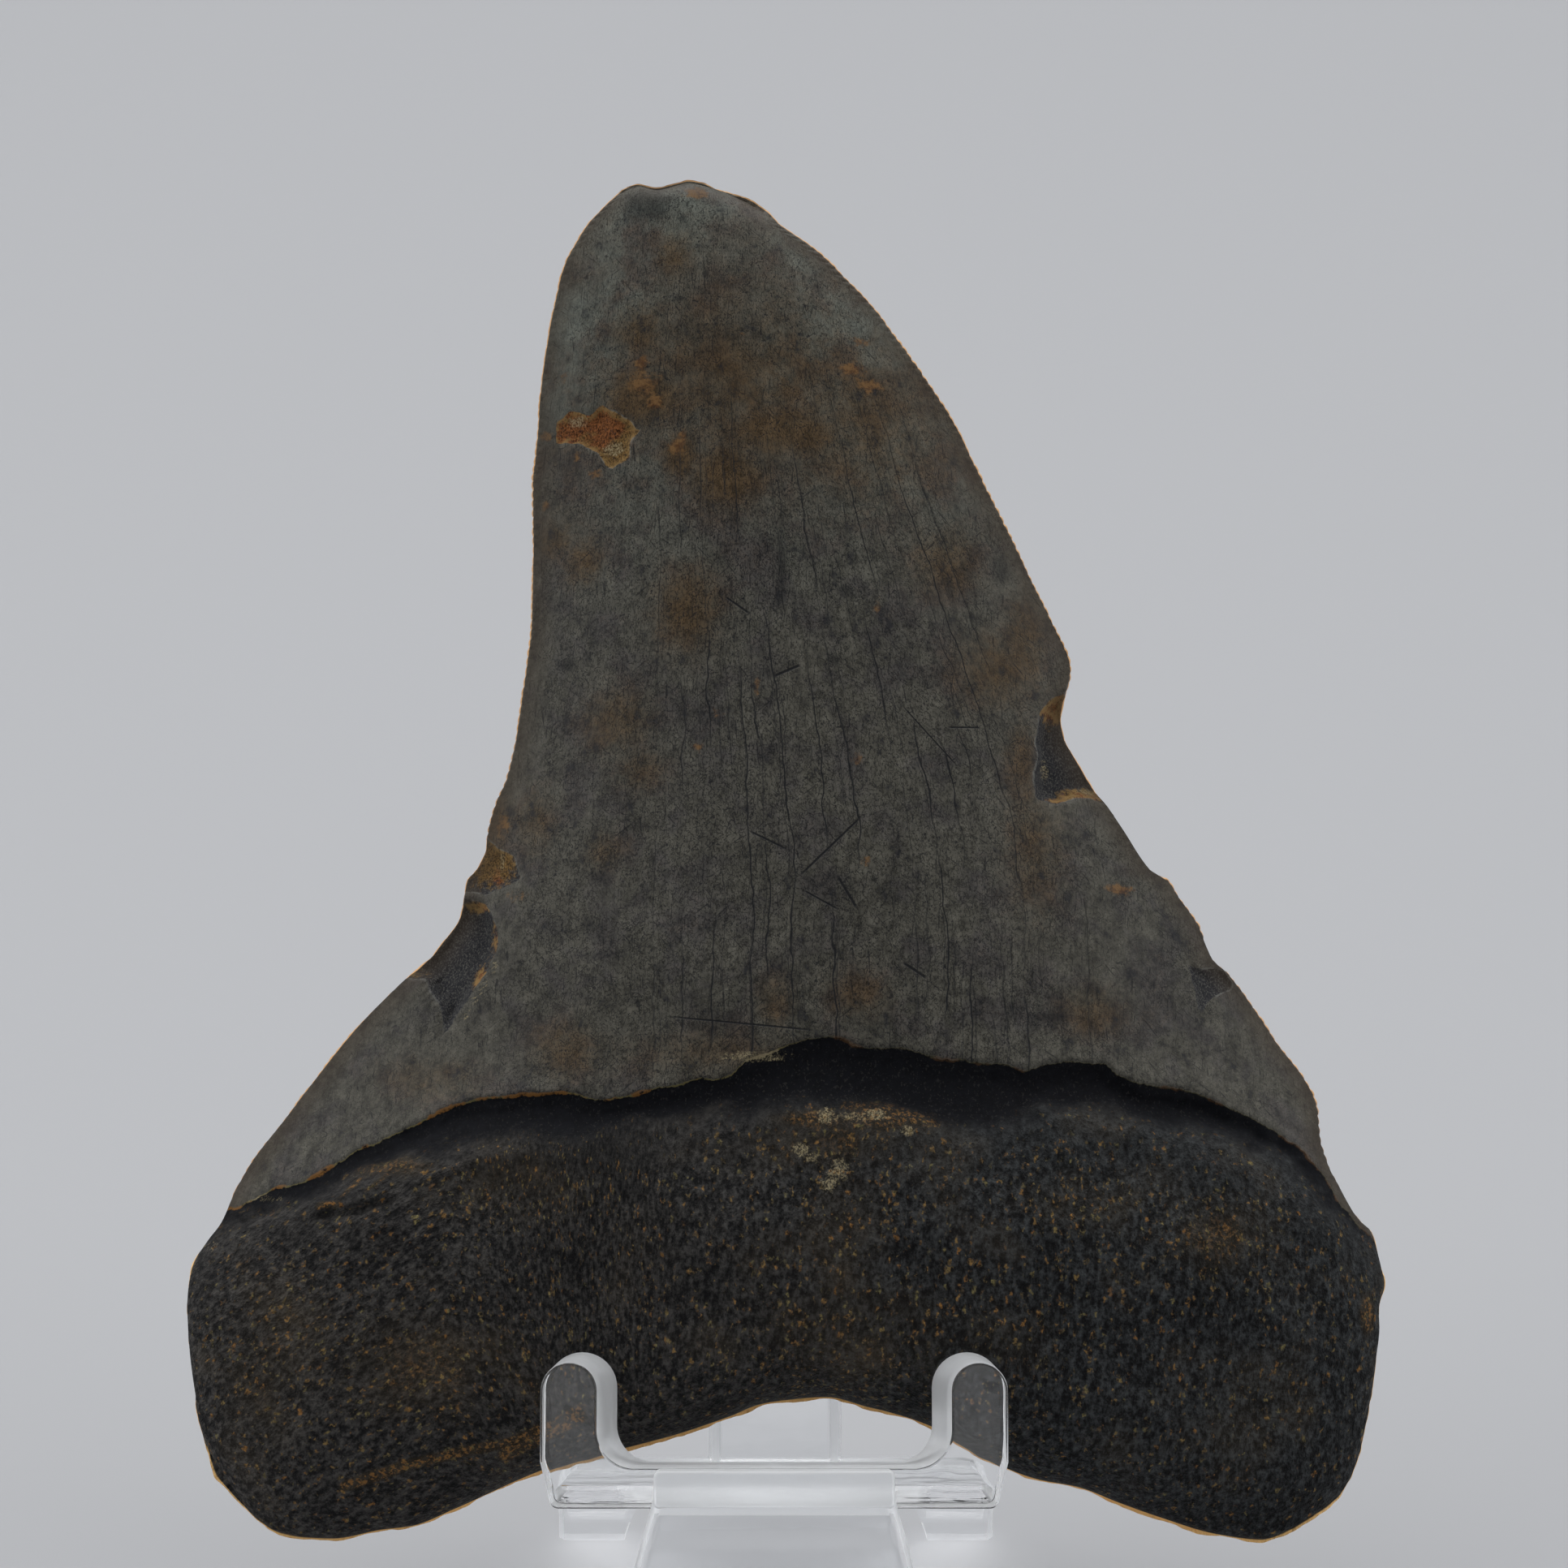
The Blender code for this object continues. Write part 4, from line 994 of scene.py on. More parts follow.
def enamel_colour(finish, place, growth, display):
    """Olive, blue and purple greys in soft patches, the blue also a painted sheen up the crown, brown
    stains, painted light and shade by height, then the dark marks and crusts.
    """
    across, height, _ = finish.axes(place)
    broad = finish.noise(place, 13.0, 3.0, 0.6)
    patch = finish.noise(place, 4.2, 3.0, 0.62)
    grain = finish.noise(place, 0.75, 3.0, 0.7)
    mottle = finish.noise(place, (1.5, 2.2, 2.0), 2.0, 0.6)
    grit = finish.noise(place, (0.24, 0.34, 0.3), 2.0, 0.6)
    streak = finish.noise(growth, (0.45, 9.0, 3.0), 2.0, 0.6)
    # Blue-grey patches that grow towards the top: the enamel's mottle together with a painted sheen
    # on the upper crown.
    bluish_and_sheen = finish.both(finish.rise(height, 74.0, 112.0), finish.rise(broad, 0.36, 0.6))
    colour = finish.blend(bluish_and_sheen, OLIVE_GREY, BLUE_GREY_AND_SHEEN)
    colour = finish.blend(finish.rise(patch, 0.44, 0.66, 0.0, 0.85), colour, PURPLE_GREY)
    brown = finish.total(
        finish.number("brown_stain"), finish.both(patch, 0.9),
        finish.rise(height, 78.0, 94.0, 0.0, 0.22), finish.both(grain, 0.6),
    )
    colour = finish.blend(finish.rise(brown, 0.75, 1.75, 0.0, 0.95), colour, ENAMEL_BROWN)
    # Besides the random tone, this paints light and shade: the crown is darker below t = 40 as
    # painted shade, and lighter towards the tip as painted light.
    tone = finish.total(
        finish.both(grain, 1.7), finish.both(streak, 0.6),
        finish.both(broad, 0.6), finish.both(mottle, 1.5), -1.08,
        finish.rise(height, 40.0, 60.0, -0.15, 0.02), finish.rise(height, 102.0, 117.0, 0.0, 0.3),
        finish.rise(across, -24.0, -44.0, 0.0, -0.09),
    )
    colour = finish.toned(colour, tone)
    marks = enamel_marks(finish, place, growth, display, grain, grit)
    hair, strokes, specks, smudges, engraved = marks
    pitting = finish.total(finish.both(engraved, -0.65), finish.both(grit, 1.1), 0.62)
    colour = finish.toned(colour, pitting)
    blotches = finish.rise(finish.total(mottle, finish.both(grain, 0.4)), 0.56, 0.44)
    colour = finish.blend(finish.both(blotches, 0.5), colour, BLOTCH)
    colour = finish.blend(finish.both(specks, 0.8), colour, INK)
    colour = finish.blend(finish.both(strokes, 0.65), colour, INK)
    colour = finish.blend(finish.both(smudges, 0.6), colour, INK)
    colour = finish.blend(finish.both(hair, 0.9), colour, INK)
    rusted = finish.total(finish.number("rust_crust"), finish.both(grain, 1.1))
    crust = finish.blend(finish.rise(grain, 0.42, 0.6), RUST_BROWN, OCHRE)
    colour = finish.blend(finish.rise(rusted, 0.95, 1.35, 0.0, 0.75), colour, crust)
    return colour, grain, patch, hair, specks


# %% [markdown]
# ## Root and band
#
# The root was bone-like and is full of pores. It looks lumpy at the size of a millimetre, darker in
# the hollows, with sand and rust caught in them. Random grains, bent by a noise so that they don't
# look like cells, give the flecks, and they thin out just under the smooth band.

# %% Root and band
BAND_BLACK = screen(15, 16, 20)
ROOT_BLACK = screen(17, 17, 18)
ROOT_GREY = screen(57, 55, 53)
ROOT_BLUE = screen(53, 55, 56)
ROOT_BROWN = screen(50, 43, 32)
RUST = screen(124, 86, 42)
OLIVE = screen(106, 98, 62)


def root_colour(finish, place, patch):
    """Lumps that go from black in the hollows to grey and brown on top, with flecks of rust and olive
    sand. They lie askew on the left lobe and upright elsewhere, and thicker in some patches."""
    across = finish.axes(place)[0]
    turn = finish.add("CombineXYZ", {2: finish.rise(across, -30.0, -8.0, -0.65, -1.5)})
    askew = finish.add("Mapping", {"Vector": place, "Rotation": turn})
    lumps = finish.noise(askew, (1.0, 0.62, 0.8), 3.0, 0.66)
    grain = finish.noise(place, 0.38, 2.0, 0.7)
    height = finish.total(finish.both(lumps, 0.65), finish.both(grain, 0.35))
    under_band = finish.rise(finish.number("band_below"), 7.0, 0.5)
    height = finish.between(finish.both(under_band, 0.45), height, 0.52)
    top = finish.blend(finish.rise(across, -15.0, 25.0), ROOT_GREY, ROOT_BLUE)
    colour = finish.blend(finish.rise(height, 0.38, 0.66), ROOT_BLACK, top)
    rusty = finish.total(finish.number("rust_crust"), finish.both(patch, 0.6))
    colour = finish.blend(finish.rise(rusty, 0.45, 1.1, 0.0, 0.6), colour, ROOT_BROWN)
    broad = finish.noise(place, 9.0, 2.0, 0.6)
    tone = finish.total(
        finish.both(height, 2.3), finish.both(broad, 1.8),
        finish.rise(across, -12.0, -42.0, -0.87, -0.46),
    )
    colour = finish.blend(finish.rise(broad, 0.48, 0.68, 0.0, 0.25), colour, ROOT_BROWN)
    colour = finish.toned(colour, tone)
    inputs = {"Vector": askew, "Scale": 1.9, "Detail": 2.0}
    warp = finish.add("TexNoise", inputs, "Color")
    bent = finish.add("VectorMath", {0: askew, 1: warp}, operation="ADD")
    distance, (pick, hue, size) = finish.grains(bent, (0.8, 0.42, 0.6))
    pick = finish.total(pick, finish.both(rusty, 0.6), finish.both(under_band, -0.16))
    chosen = finish.rise(pick, 0.72, 0.95)
    reach = finish.math("MULTIPLY_ADD", size, 0.3, 0.1)
    near = finish.rise(finish.math("SUBTRACT", distance, reach), -0.15, 0.2, 1.0, 0.0)
    fleck = finish.both(chosen, near, finish.rise(height, 0.4, 0.55), 0.85)
    fleck_tone = finish.math("MULTIPLY_ADD", grain, 3.4, -0.65)
    colour = finish.blend(fleck, colour, finish.toned(finish.blend(hue, RUST, OLIVE), fleck_tone))
    return colour, grain, lumps, rusty


# %% [markdown]
# ## One material for the fossil
#
# Separate materials for crown, band and root would meet in steps along the triangles. One material
# that blends by distance has borders as fine as the noise that shifts them. The same shares steer the
# bump and the gloss, so that the dull root and the satin enamel part at the same line.

# %% The whole fossil
EDGE_BROWN = screen(60, 50, 38)
# The next two colours are painted highlights: a thin bright fringe of light along the outline,
# brightest on the root's underside.
ROOT_RIM_GLOW = screen(255, 206, 136)
ENAMEL_RIM_GLOW = screen(218, 172, 122)
SCAR_BLACK = screen(40, 40, 43)
SCAR_GREY = screen(88, 87, 83)
# A painted highlight: the pale grey of a thin line of light along the hollows' borders.
BORDER_HIGHLIGHT_GREY = screen(120, 120, 114)
CHIP_ORANGE = screen(112, 70, 40)
CHIP_OLIVE = screen(106, 82, 48)
CHIP_YELLOW = screen(136, 110, 70)


def fossil_finish():
    """Joins the zones by the distances on the vertices, and adds crusts, painted highlights along the
    outline and the hollows' borders, bump and gloss.
    """
    finish = Finish("fossil")
    place = finish.place("leaning_place")
    growth = finish.place("growth_place")
    display = finish.number("display_side")
    above = finish.number("enamel_above")
    rim = finish.number("rim_inside")
    scar = finish.number("scar_inside")
    flake = finish.number("flake_inside")
    across = finish.axes(place)[0]

    enamel, fine, patch, hair, specks = enamel_colour(finish, place, growth, display)
    root, grain, lumps, rusty = root_colour(finish, place, patch)
    jitter = finish.math("MULTIPLY_ADD", fine, 0.5, -0.25)
    ragged = finish.math("MULTIPLY_ADD", patch, 3.0, -1.5)
    on_root = finish.rise(finish.total(finish.number("band_below"), jitter, ragged), -0.9, 1.3)
    band = finish.toned(BAND_BLACK, finish.math("MULTIPLY_ADD", fine, 1.6, 0.1))
    band = finish.blend(finish.both(specks, 0.4), band, ROOT_GREY)
    lower = finish.blend(on_root, band, root)
    dust = finish.noise(place, (0.15, 0.22, 0.19), 2.0, 0.7)
    # The pale marks are crusts, with a few painted glints and a painted highlight line among them.
    pale = finish.total(finish.number("pale_crust"), finish.both(grain, 1.1))
    grainy = finish.rise(dust, 0.44, 0.58, 0.1, 1.0)
    pale_share = finish.both(finish.rise(pale, 1.0, 1.3, 0.0, 0.85), grainy)
    crusted = finish.both(finish.rise(rusty, 0.75, 1.3), finish.rise(grain, 0.5, 0.62), on_root)
    lower = finish.blend(crusted, lower, finish.blend(patch, RUST, OCHRE))
    lower = finish.blend(pale_share, lower, CREAM)
    enamel = finish.blend(finish.both(pale_share, 0.8), enamel, CREAM)
    on_enamel = finish.rise(finish.total(above, jitter), -0.05, 0.05)
    colour = finish.blend(on_enamel, lower, enamel)

    width = finish.rise(patch, 0.46, 0.62, 0.06, 0.22)
    line = finish.math("DIVIDE", finish.math("ABSOLUTE", finish.total(above, jitter)), width)
    left_half = finish.rise(across, 4.0, -1.0, 0.25, 1.0)
    line = finish.rise(line, 0.5, 1.1, 1.0, 0.0)
    line = finish.both(line, left_half, finish.rise(fine, 0.3, 0.5), 0.75)
    crust = finish.blend(finish.rise(patch, 0.5, 0.56), OLIVE, RUST)
    colour = finish.blend(line, colour, finish.blend(finish.rise(pale, 0.7, 1.1), crust, CREAM))

    hollow = finish.most(scar, flake)
    floor_colour = finish.blend(finish.rise(dust, 0.44, 0.7, 0.0, 0.9), SCAR_BLACK, SCAR_GREY)
    rusted = finish.total(finish.number("hollow_rust"), finish.both(fine, 0.9))
    chip = finish.blend(finish.rise(patch, 0.42, 0.54), CHIP_ORANGE, CHIP_OLIVE)
    chip = finish.toned(chip, finish.math("MULTIPLY_ADD", dust, 4.6, -1.35))
    chip = finish.blend(finish.rise(grain, 0.46, 0.34, 0.0, 0.4), chip, SCAR_BLACK)
    border = finish.both(finish.rise(flake, 0.1, 0.7, 0.8, 0.0), finish.rise(fine, 0.4, 0.55))
    chip = finish.blend(border, chip, CHIP_YELLOW)
    floor_colour = finish.blend(finish.rise(rusted, 0.9, 1.2), floor_colour, chip)
    floor_colour = finish.blend(pale_share, floor_colour, CREAM)
    colour = finish.blend(finish.rise(hollow, -0.03, 0.03), colour, floor_colour)
    # Painted highlight: a thin pale line along the border of each hollow on the enamel, in sparse
    # stretches.
    broken_edge_highlight = finish.rise(finish.math("ABSOLUTE", hollow), 0.04, 0.15, 0.5, 0.0)
    sparse = finish.both(finish.rise(patch, 0.46, 0.58), finish.rise(fine, 0.4, 0.55))
    broken_edge_highlight = finish.both(broken_edge_highlight, sparse, on_enamel)
    colour = finish.blend(broken_edge_highlight, colour, BORDER_HIGHLIGHT_GREY)

    edge_tint = finish.both(finish.rise(rim, 0.0, 3.0, 0.6, 0.0), on_enamel)
    colour = finish.blend(edge_tint, colour, EDGE_BROWN)
    # Painted highlight: a thin bright fringe along the display face's outline, cream on the enamel
    # and a brighter orange-white on the root.
    rim_glow_colour = finish.blend(on_enamel, ROOT_RIM_GLOW, ENAMEL_RIM_GLOW)
    rim_glow_width = finish.between(on_enamel, 0.3, 0.14)
    rim_glow_share = finish.rise(finish.math("DIVIDE", rim, rim_glow_width), 0.5, 1.0, 1.0, 0.0)
    rim_glow_share = finish.both(rim_glow_share, finish.rise(finish.number("off_edge"), 0.15, 0.5, 1.0, 0.0))
    colour = finish.blend(rim_glow_share, colour, rim_glow_colour)
    finish.join(colour, finish.shader.inputs["Base Color"])

    notch = finish.math("SINE", finish.both(finish.number("serration"), math.pi))
    near_rim = finish.rise(rim, 0.15, 0.9, 0.07, 0.0)
    notch = finish.both(finish.math("ABSOLUTE", notch), near_rim, on_enamel)
    grooves = finish.total(finish.both(hair, -0.05), finish.both(specks, -0.012))
    enamel_bump = finish.total(grooves, notch, finish.both(fine, 0.03))
    root_bump = finish.both(grain, finish.rise(on_root, 0.0, 1.0, 0.03, 0.14))
    root_bump = finish.total(root_bump, finish.both(lumps, on_root, 0.6))
    solid = finish.both(on_enamel, finish.rise(hollow, 0.0, 0.15, 1.0, 0.0))
    bump_height = finish.between(solid, root_bump, enamel_bump)
    bump = finish.add("Bump", {"Height": bump_height, "Distance": MM, "Strength": 1.0})
    finish.join(bump, finish.shader.inputs["Normal"])

    gloss = finish.rise(fine, 0.3, 0.75, 0.4, 0.56)
    below = finish.rise(on_root, 0.0, 1.0, 0.85, 0.75)
    finish.join(finish.between(solid, below, gloss), finish.shader.inputs["Roughness"])
    finish.shader.inputs["Specular IOR Level"].default_value = 0.12
    return finish.material


tooth.data.materials.append(fossil_finish())
print("the fossil's finish has", len(tooth.data.materials[0].node_tree.nodes), "nodes")

# %% [markdown]
# ## The clear stand
#
# The stand is one injection moulding: a fork with two round-topped prongs in front, a floor under the
# root, a back-rest behind, and bent legs. Each part is a profile carried along a straight or bent
# path, with its edges rounded by a quarter circle. Modifiers could bevel the joined solid, but bevels
# on a joined mesh often break at the seams, so the rounding is in the parts and they are joined last.

# %% Stand sizes
# In the leaning frame. The fork is the front plate with the two prongs.
FORK_DEPTH = 8.8
FORK_HALF_WIDTH = 20.0
FORK_FOOT_HALF_WIDTH = 19.2
FORK_FOOT_T = -1.8
RAIL_T = 1.6                   # the top of the rail between the prongs
PRONG_WIDTH_FRONT = 4.8
PRONG_WIDTH_BACK = 6.2         # the slot's walls have draft
PRONG_TOP_FRONT = 10.5
PRONG_TOP_BACK = 11.1
SLOT_FILLET = 3.2
FLOOR_THICKNESS = 1.45
FLOOR_HALF_WIDTH = 19.0
REST_HALF_WIDTH = 6.3          # the back-rest
REST_DRAFT = 1.1               # and how much narrower its front is
REST_TOP_T = 46.0
REST_THICKNESS = 4.0
REST_STEP_T = 8.6              # a step strengthens the foot of the back-rest from behind
REST_STEP_DEPTH = 1.2
REST_TOUCHES = (12.0, 42.0)    # the two levels at which the tooth's back lies on the back-rest
# The legs, in the table's frame, as (distance behind REST_Y, height, half width).
FRONT_LEG = [
    (-27.1, 24.4, 10.2), (-27.3, 23.0, 10.3), (-28.0, 21.4, 10.7), (-29.6, 19.2, 11.4),
    (-31.0, 16.2, 12.1), (-31.8, 11.5, 12.6), (-32.1, 6.5, 12.8), (-32.1, 2.5, 12.8),
    (-32.1, 0.0, 12.8),
]
FRONT_LEG_THICKNESS = 3.0
BOSS_DEPTH = 3.1               # the boss on the rail from which the front leg hangs
BOSS_FOOT_Z = 22.2
REAR_LEGS = [
    (4.0, 14.0, 19.6), (10.0, 13.0, 19.8), (17.0, 10.8, 20.6), (23.5, 7.6, 21.4),
    (28.9, 4.4, 22.0), (30.6, 1.9, 22.0), (30.6, 0.0, 22.0),
]
REAR_LEG_THICKNESS = 3.2
REAR_ARCH_HALF_WIDTHS = (13.0, 17.0)   # at its crown and at the table
REAR_ARCH_HEIGHT = 11.0
EDGE_STEPS = 4
CORNER_RADIUS = 0.8            # of the fork's foot
SECTION_CORNER = 0.5           # of the floor's and the boss's sections
STEP_CORNER = 0.4
RIBBON_CORNER = 1.35
OVERLAP = 1.0                  # how far the step reaches into the back-rest
FORK_EDGE = 0.2                # how far the parts' edges are rounded
PART_EDGE = 0.3
REST_EDGE = 0.4


# %% Mouldings
def arc(centre, radius, start, end, steps=14):
    """Points along part of a circle, angles in degrees, anticlockwise from +a."""
    turn = np.radians(np.linspace(start, end, steps + 1))
    return np.stack([centre[0] + radius * np.cos(turn), centre[1] + radius * np.sin(turn)], axis=1)


def outward(outline):
    """Unit normals of an anticlockwise outline: the mean of the two edges' directions, turned to the
    right."""
    after = np.roll(outline, -1, axis=0) - outline
    after /= np.linalg.norm(after, axis=1, keepdims=True)
    tangent = after + np.roll(after, 1, axis=0)
    tangent /= np.linalg.norm(tangent, axis=1, keepdims=True)
    return np.stack([tangent[:, 1], -tangent[:, 0]], axis=1)


def close_mesh(name, rings):
    """A closed mesh from rings of points, shape (rings, points, 3): quads between the rings and one
    flat face at each end, all turned outwards."""
    count, around = rings.shape[:2]
    index = np.arange(count * around).reshape(count, around)
    index = np.concatenate([index, index[:, :1]], axis=1)
    piece = new_piece(name, rings, grid_quads(index), [index[0, :-1][::-1]], [index[-1, :-1]])
    work = bmesh.new()
    work.from_mesh(piece.data)
    bmesh.ops.recalc_face_normals(work, faces=work.faces)
    work.to_mesh(piece.data)
    work.free()
    return piece


def moulding(name, near, far, near_level, far_level, radius, place):
    """Carries an outline from near_level to far_level while it changes from near to far. At both ends
    it is drawn in by radius * (1 - sin a) at the depth radius * (1 - cos a), a quarter circle."""
    turn = np.linspace(0.0, 0.5 * math.pi, EDGE_STEPS + 1)
    inset = radius * (1.0 - np.sin(turn))
    depth = radius * (1.0 - np.cos(turn))
    insets = np.concatenate([inset, inset[::-1]])[:, None, None]
    levels = np.concatenate([near_level - depth, far_level + depth[::-1]])[:, None]
    share = ((near_level - levels) / (near_level - far_level))[:, :, None]
    rings = near * (1.0 - share) + far * share
    rings = rings - insets * (outward(near) * (1.0 - share) + outward(far) * share)
    return close_mesh(name, place(rings[..., 0], rings[..., 1], levels))


def fork_outline(prong_width, prong_top):
    """The fork from the front: a rail with a round-topped prong at each end."""
    inner = FORK_HALF_WIDTH - prong_width
    radius = 0.5 * prong_width
    foot = (FORK_FOOT_HALF_WIDTH - CORNER_RADIUS, FORK_FOOT_T + CORNER_RADIUS)
    right = np.concatenate([
        arc(foot, CORNER_RADIUS, -90.0, -10.0, 6),
        [(FORK_HALF_WIDTH, RAIL_T + 0.5)],
        arc((inner + radius, prong_top - radius), radius, 0.0, 180.0, 20),
        arc((inner - SLOT_FILLET, RAIL_T + SLOT_FILLET), SLOT_FILLET, 0.0, -90.0, 12),
    ])
    return np.concatenate([right, right[::-1] * (-1.0, 1.0)])


def rectangle(half_width, low, high, corner):
    """An anticlockwise rectangle with round corners."""
    centres = [(1, high, 0.0), (-1, high, 90.0), (-1, low, 180.0), (1, low, 270.0)]
    return np.concatenate([
        arc((side * (half_width - corner), level + (corner if level == low else -corner)),
            corner, start, start + 90.0, 5)
        for side, level, start in centres
    ])


def ribbon(name, stations, thickness, steps=8):
    """A bent strip: a round-cornered section carried along a smooth line through the stations, square
    to it, and upright where it meets the table."""
    stations = np.array(stations, float)
    along = np.concatenate([[0.0], np.cumsum(np.hypot(*np.diff(stations[:, :2], axis=0).T))])
    at = np.interp(np.arange((len(stations) - 1) * steps + 1) / steps, range(len(stations)), along)
    depth, height, half = (
        curve_through(np.stack([along, stations[:, i]], axis=1), at) for i in range(3)
    )
    run, drop = np.gradient(depth, at), np.gradient(height, at)
    run[-1], drop[-1] = 0.0, -1.0
    length = np.hypot(run, drop)
    section = rectangle(half[0], -0.5 * thickness, 0.5 * thickness, RIBBON_CORNER)
    x = section[None, :, 0] + np.sign(section[None, :, 0]) * (half - half[0])[:, None]
    off = section[None, :, 1]
    y = depth[:, None] - off * (drop / length)[:, None]
    z = height[:, None] + off * (run / length)[:, None]
    return close_mesh(name, from_table(x, y, z))


def combine(base, other, operation):
    """Applies an exact Boolean of the other piece to the base and removes the other."""
    modifier = base.modifiers.new(operation.lower(), "BOOLEAN")
    modifier.operation = operation
    modifier.solver = "EXACT"
    modifier.object = other
    bpy.context.view_layer.objects.active = base
    bpy.ops.object.modifier_apply(modifier=modifier.name)
    bpy.data.objects.remove(other, do_unlink=True)


# %% [markdown]
# ## Fitting the stand to the tooth
#
# A real stand is bought to fit, and here the order is turned round: the prongs and the back-rest are
# placed by how far the tooth's mesh reaches, plus a small clearance, so that nothing cuts into it.
# The parts are then joined by exact Booleans, which leaves one closed solid with no inner walls.

# %% The stand's mesh
def tooth_reach(side, half_low, half_high, t_low, t_high):
    """The furthest-out w of the tooth's display face (side 0) or back (side 1) in a band of |x| and
    t."""
    x, t, w = tooth_parts[side][:3]
    near = (np.abs(x) >= half_low) & (np.abs(x) <= half_high) & (t >= t_low) & (t <= t_high)
    return w[near].max() if side == 0 else w[near].min()


def satin_faces(piece):
    """Which faces are satin: the boss, and the walls that slid along the mould's steel, so those that
    face sideways or, round the fork, away from the leaning frame's w."""
    count = len(piece.data.polygons)
    normals, centres = np.zeros(count * 3, np.float32), np.zeros(count * 3, np.float32)
    piece.data.polygons.foreach_get("normal", normals)
    piece.data.polygons.foreach_get("center", centres)
    normals, centres = normals.reshape(-1, 3), centres.reshape(-1, 3)
    front = normals @ np.array([0.0, -math.cos(LEAN), math.sin(LEAN)], np.float32)
    depth = centres[:, 1] / MM - REST_Y
    on_fork = (depth < -15.0) & (depth > -25.2)
    walls = np.where(on_fork, 1.0 - np.abs(front), np.abs(normals[:, 0])) > 0.6
    on_boss = (depth < -25.4) & (centres[:, 2] / MM > BOSS_FOOT_Z)
    off_middle = np.abs(centres[:, 0] / MM - CENTRE_X)
    in_arch = (depth > 5.0) & (off_middle < REAR_ARCH_HALF_WIDTHS[0]) & (np.abs(normals[:, 1]) < 0.2)
    return walls | on_boss | in_arch


def make_stand():
    """The fork, floor, back-rest and legs, set against the tooth with the clearance and joined."""
    inner = FORK_HALF_WIDTH - PRONG_WIDTH_BACK
    prong_back = tooth_reach(0, inner - 3.0, FORK_HALF_WIDTH + 3.0, -3.0, 14.0) + GAP
    low_t, high_t = REST_TOUCHES
    low_w, high_w = (
        tooth_reach(1, 0.0, REST_HALF_WIDTH + 3.0, t - 8.0, t + 8.0) - GAP for t in REST_TOUCHES
    )
    tilt = (high_w - low_w) / (high_t - low_t)
    rest_face = low_w - tilt * low_t
    rest_back_w = rest_face - REST_THICKNESS

    stand = moulding(
        "clear_stand", fork_outline(PRONG_WIDTH_FRONT, PRONG_TOP_FRONT),
        fork_outline(PRONG_WIDTH_BACK, PRONG_TOP_BACK), prong_back + FORK_DEPTH, prong_back,
        FORK_EDGE, from_leaning,
    )
    floor_section = rectangle(FLOOR_HALF_WIDTH, -GAP - FLOOR_THICKNESS, -GAP, SECTION_CORNER)
    floor = moulding(
        "floor_part", floor_section, floor_section, prong_back + 0.4 * FORK_DEPTH,
        rest_back_w, PART_EDGE, from_leaning,
    )
    low = -GAP - 0.5 * FLOOR_THICKNESS
    rest_front, rest_back = (
        np.concatenate([
            [(-half, low), (half, low)],
            arc((0.0, REST_TOP_T - REST_HALF_WIDTH), half, 0.0, 180.0, 30),
        ])
        for half in (REST_HALF_WIDTH - REST_DRAFT, REST_HALF_WIDTH)
    )
    rest = moulding(
        "rest_part", rest_front, rest_back, rest_face, rest_back_w, REST_EDGE,
        lambda a, b, w: from_leaning(a, b, w + tilt * b),
    )
    step = rectangle(REST_HALF_WIDTH, low, REST_STEP_T, STEP_CORNER)
    step = moulding(
        "step_part", step, step, rest_back_w + OVERLAP, rest_back_w - REST_STEP_DEPTH, PART_EDGE,
        lambda a, b, w: from_leaning(a, b, w + tilt * b),
    )
    legs = ribbon("rear_legs", REAR_LEGS, REAR_LEG_THICKNESS)
    crown_half, foot_half = REAR_ARCH_HALF_WIDTHS
    mean_half = 0.5 * (crown_half + foot_half)
    turn = np.radians(np.linspace(20.0, 160.0, 31))
    arch = np.concatenate([
        [(-foot_half, -5.0), (foot_half, -5.0)],
        np.stack([mean_half * np.cos(turn), REAR_ARCH_HEIGHT * np.sin(turn)], axis=1),
    ])
    cutter = close_mesh("arch_part", np.stack([
        from_table(arch[:, 0], level, arch[:, 1]) for level in (8.0, 45.0)
    ]))
    boss = rectangle(FRONT_LEG[0][2], FORK_FOOT_T + 0.2, RAIL_T - 0.05, SECTION_CORNER)
    boss = moulding(
        "boss_part", boss, boss, prong_back + FORK_DEPTH + BOSS_DEPTH, prong_back + 0.6 * FORK_DEPTH,
        PART_EDGE, from_leaning,
    )
    combine(legs, cutter, "DIFFERENCE")
    for part in (floor, rest, step, boss, ribbon("front_leg", FRONT_LEG, FRONT_LEG_THICKNESS), legs):
        combine(stand, part, "UNION")
    stand.visible_shadow = False       # light falls through clear plastic
    stand.data.shade_smooth()
    stand.data.set_sharp_from_angle(angle=math.radians(32.0))
    weighted = stand.modifiers.new("even_shading", "WEIGHTED_NORMAL")
    weighted.keep_sharp = True
    print("in mm, the prongs' back is at w", round(float(prong_back), 2), "and the back-rest at w",
          round(float(rest_face), 2))
    return stand


stand = make_stand()
print("the stand's mesh has", sum(len(f.vertices) - 2 for f in stand.data.polygons), "triangles")


# %% [markdown]
# ## Clear plastic
#
# Acrylic is clear right through and bends light by an index of refraction of 1.49. Polished faces are
# nearly sharp. The walls across the mould, the boss and the arch are given a hazy version, since
# perfectly clear walls would mirror only dark things at a low angle. An absorption volume isn't
# needed for walls a few millimetres thick.

# %% Clear plastic
ACRYLIC_IOR = 1.49


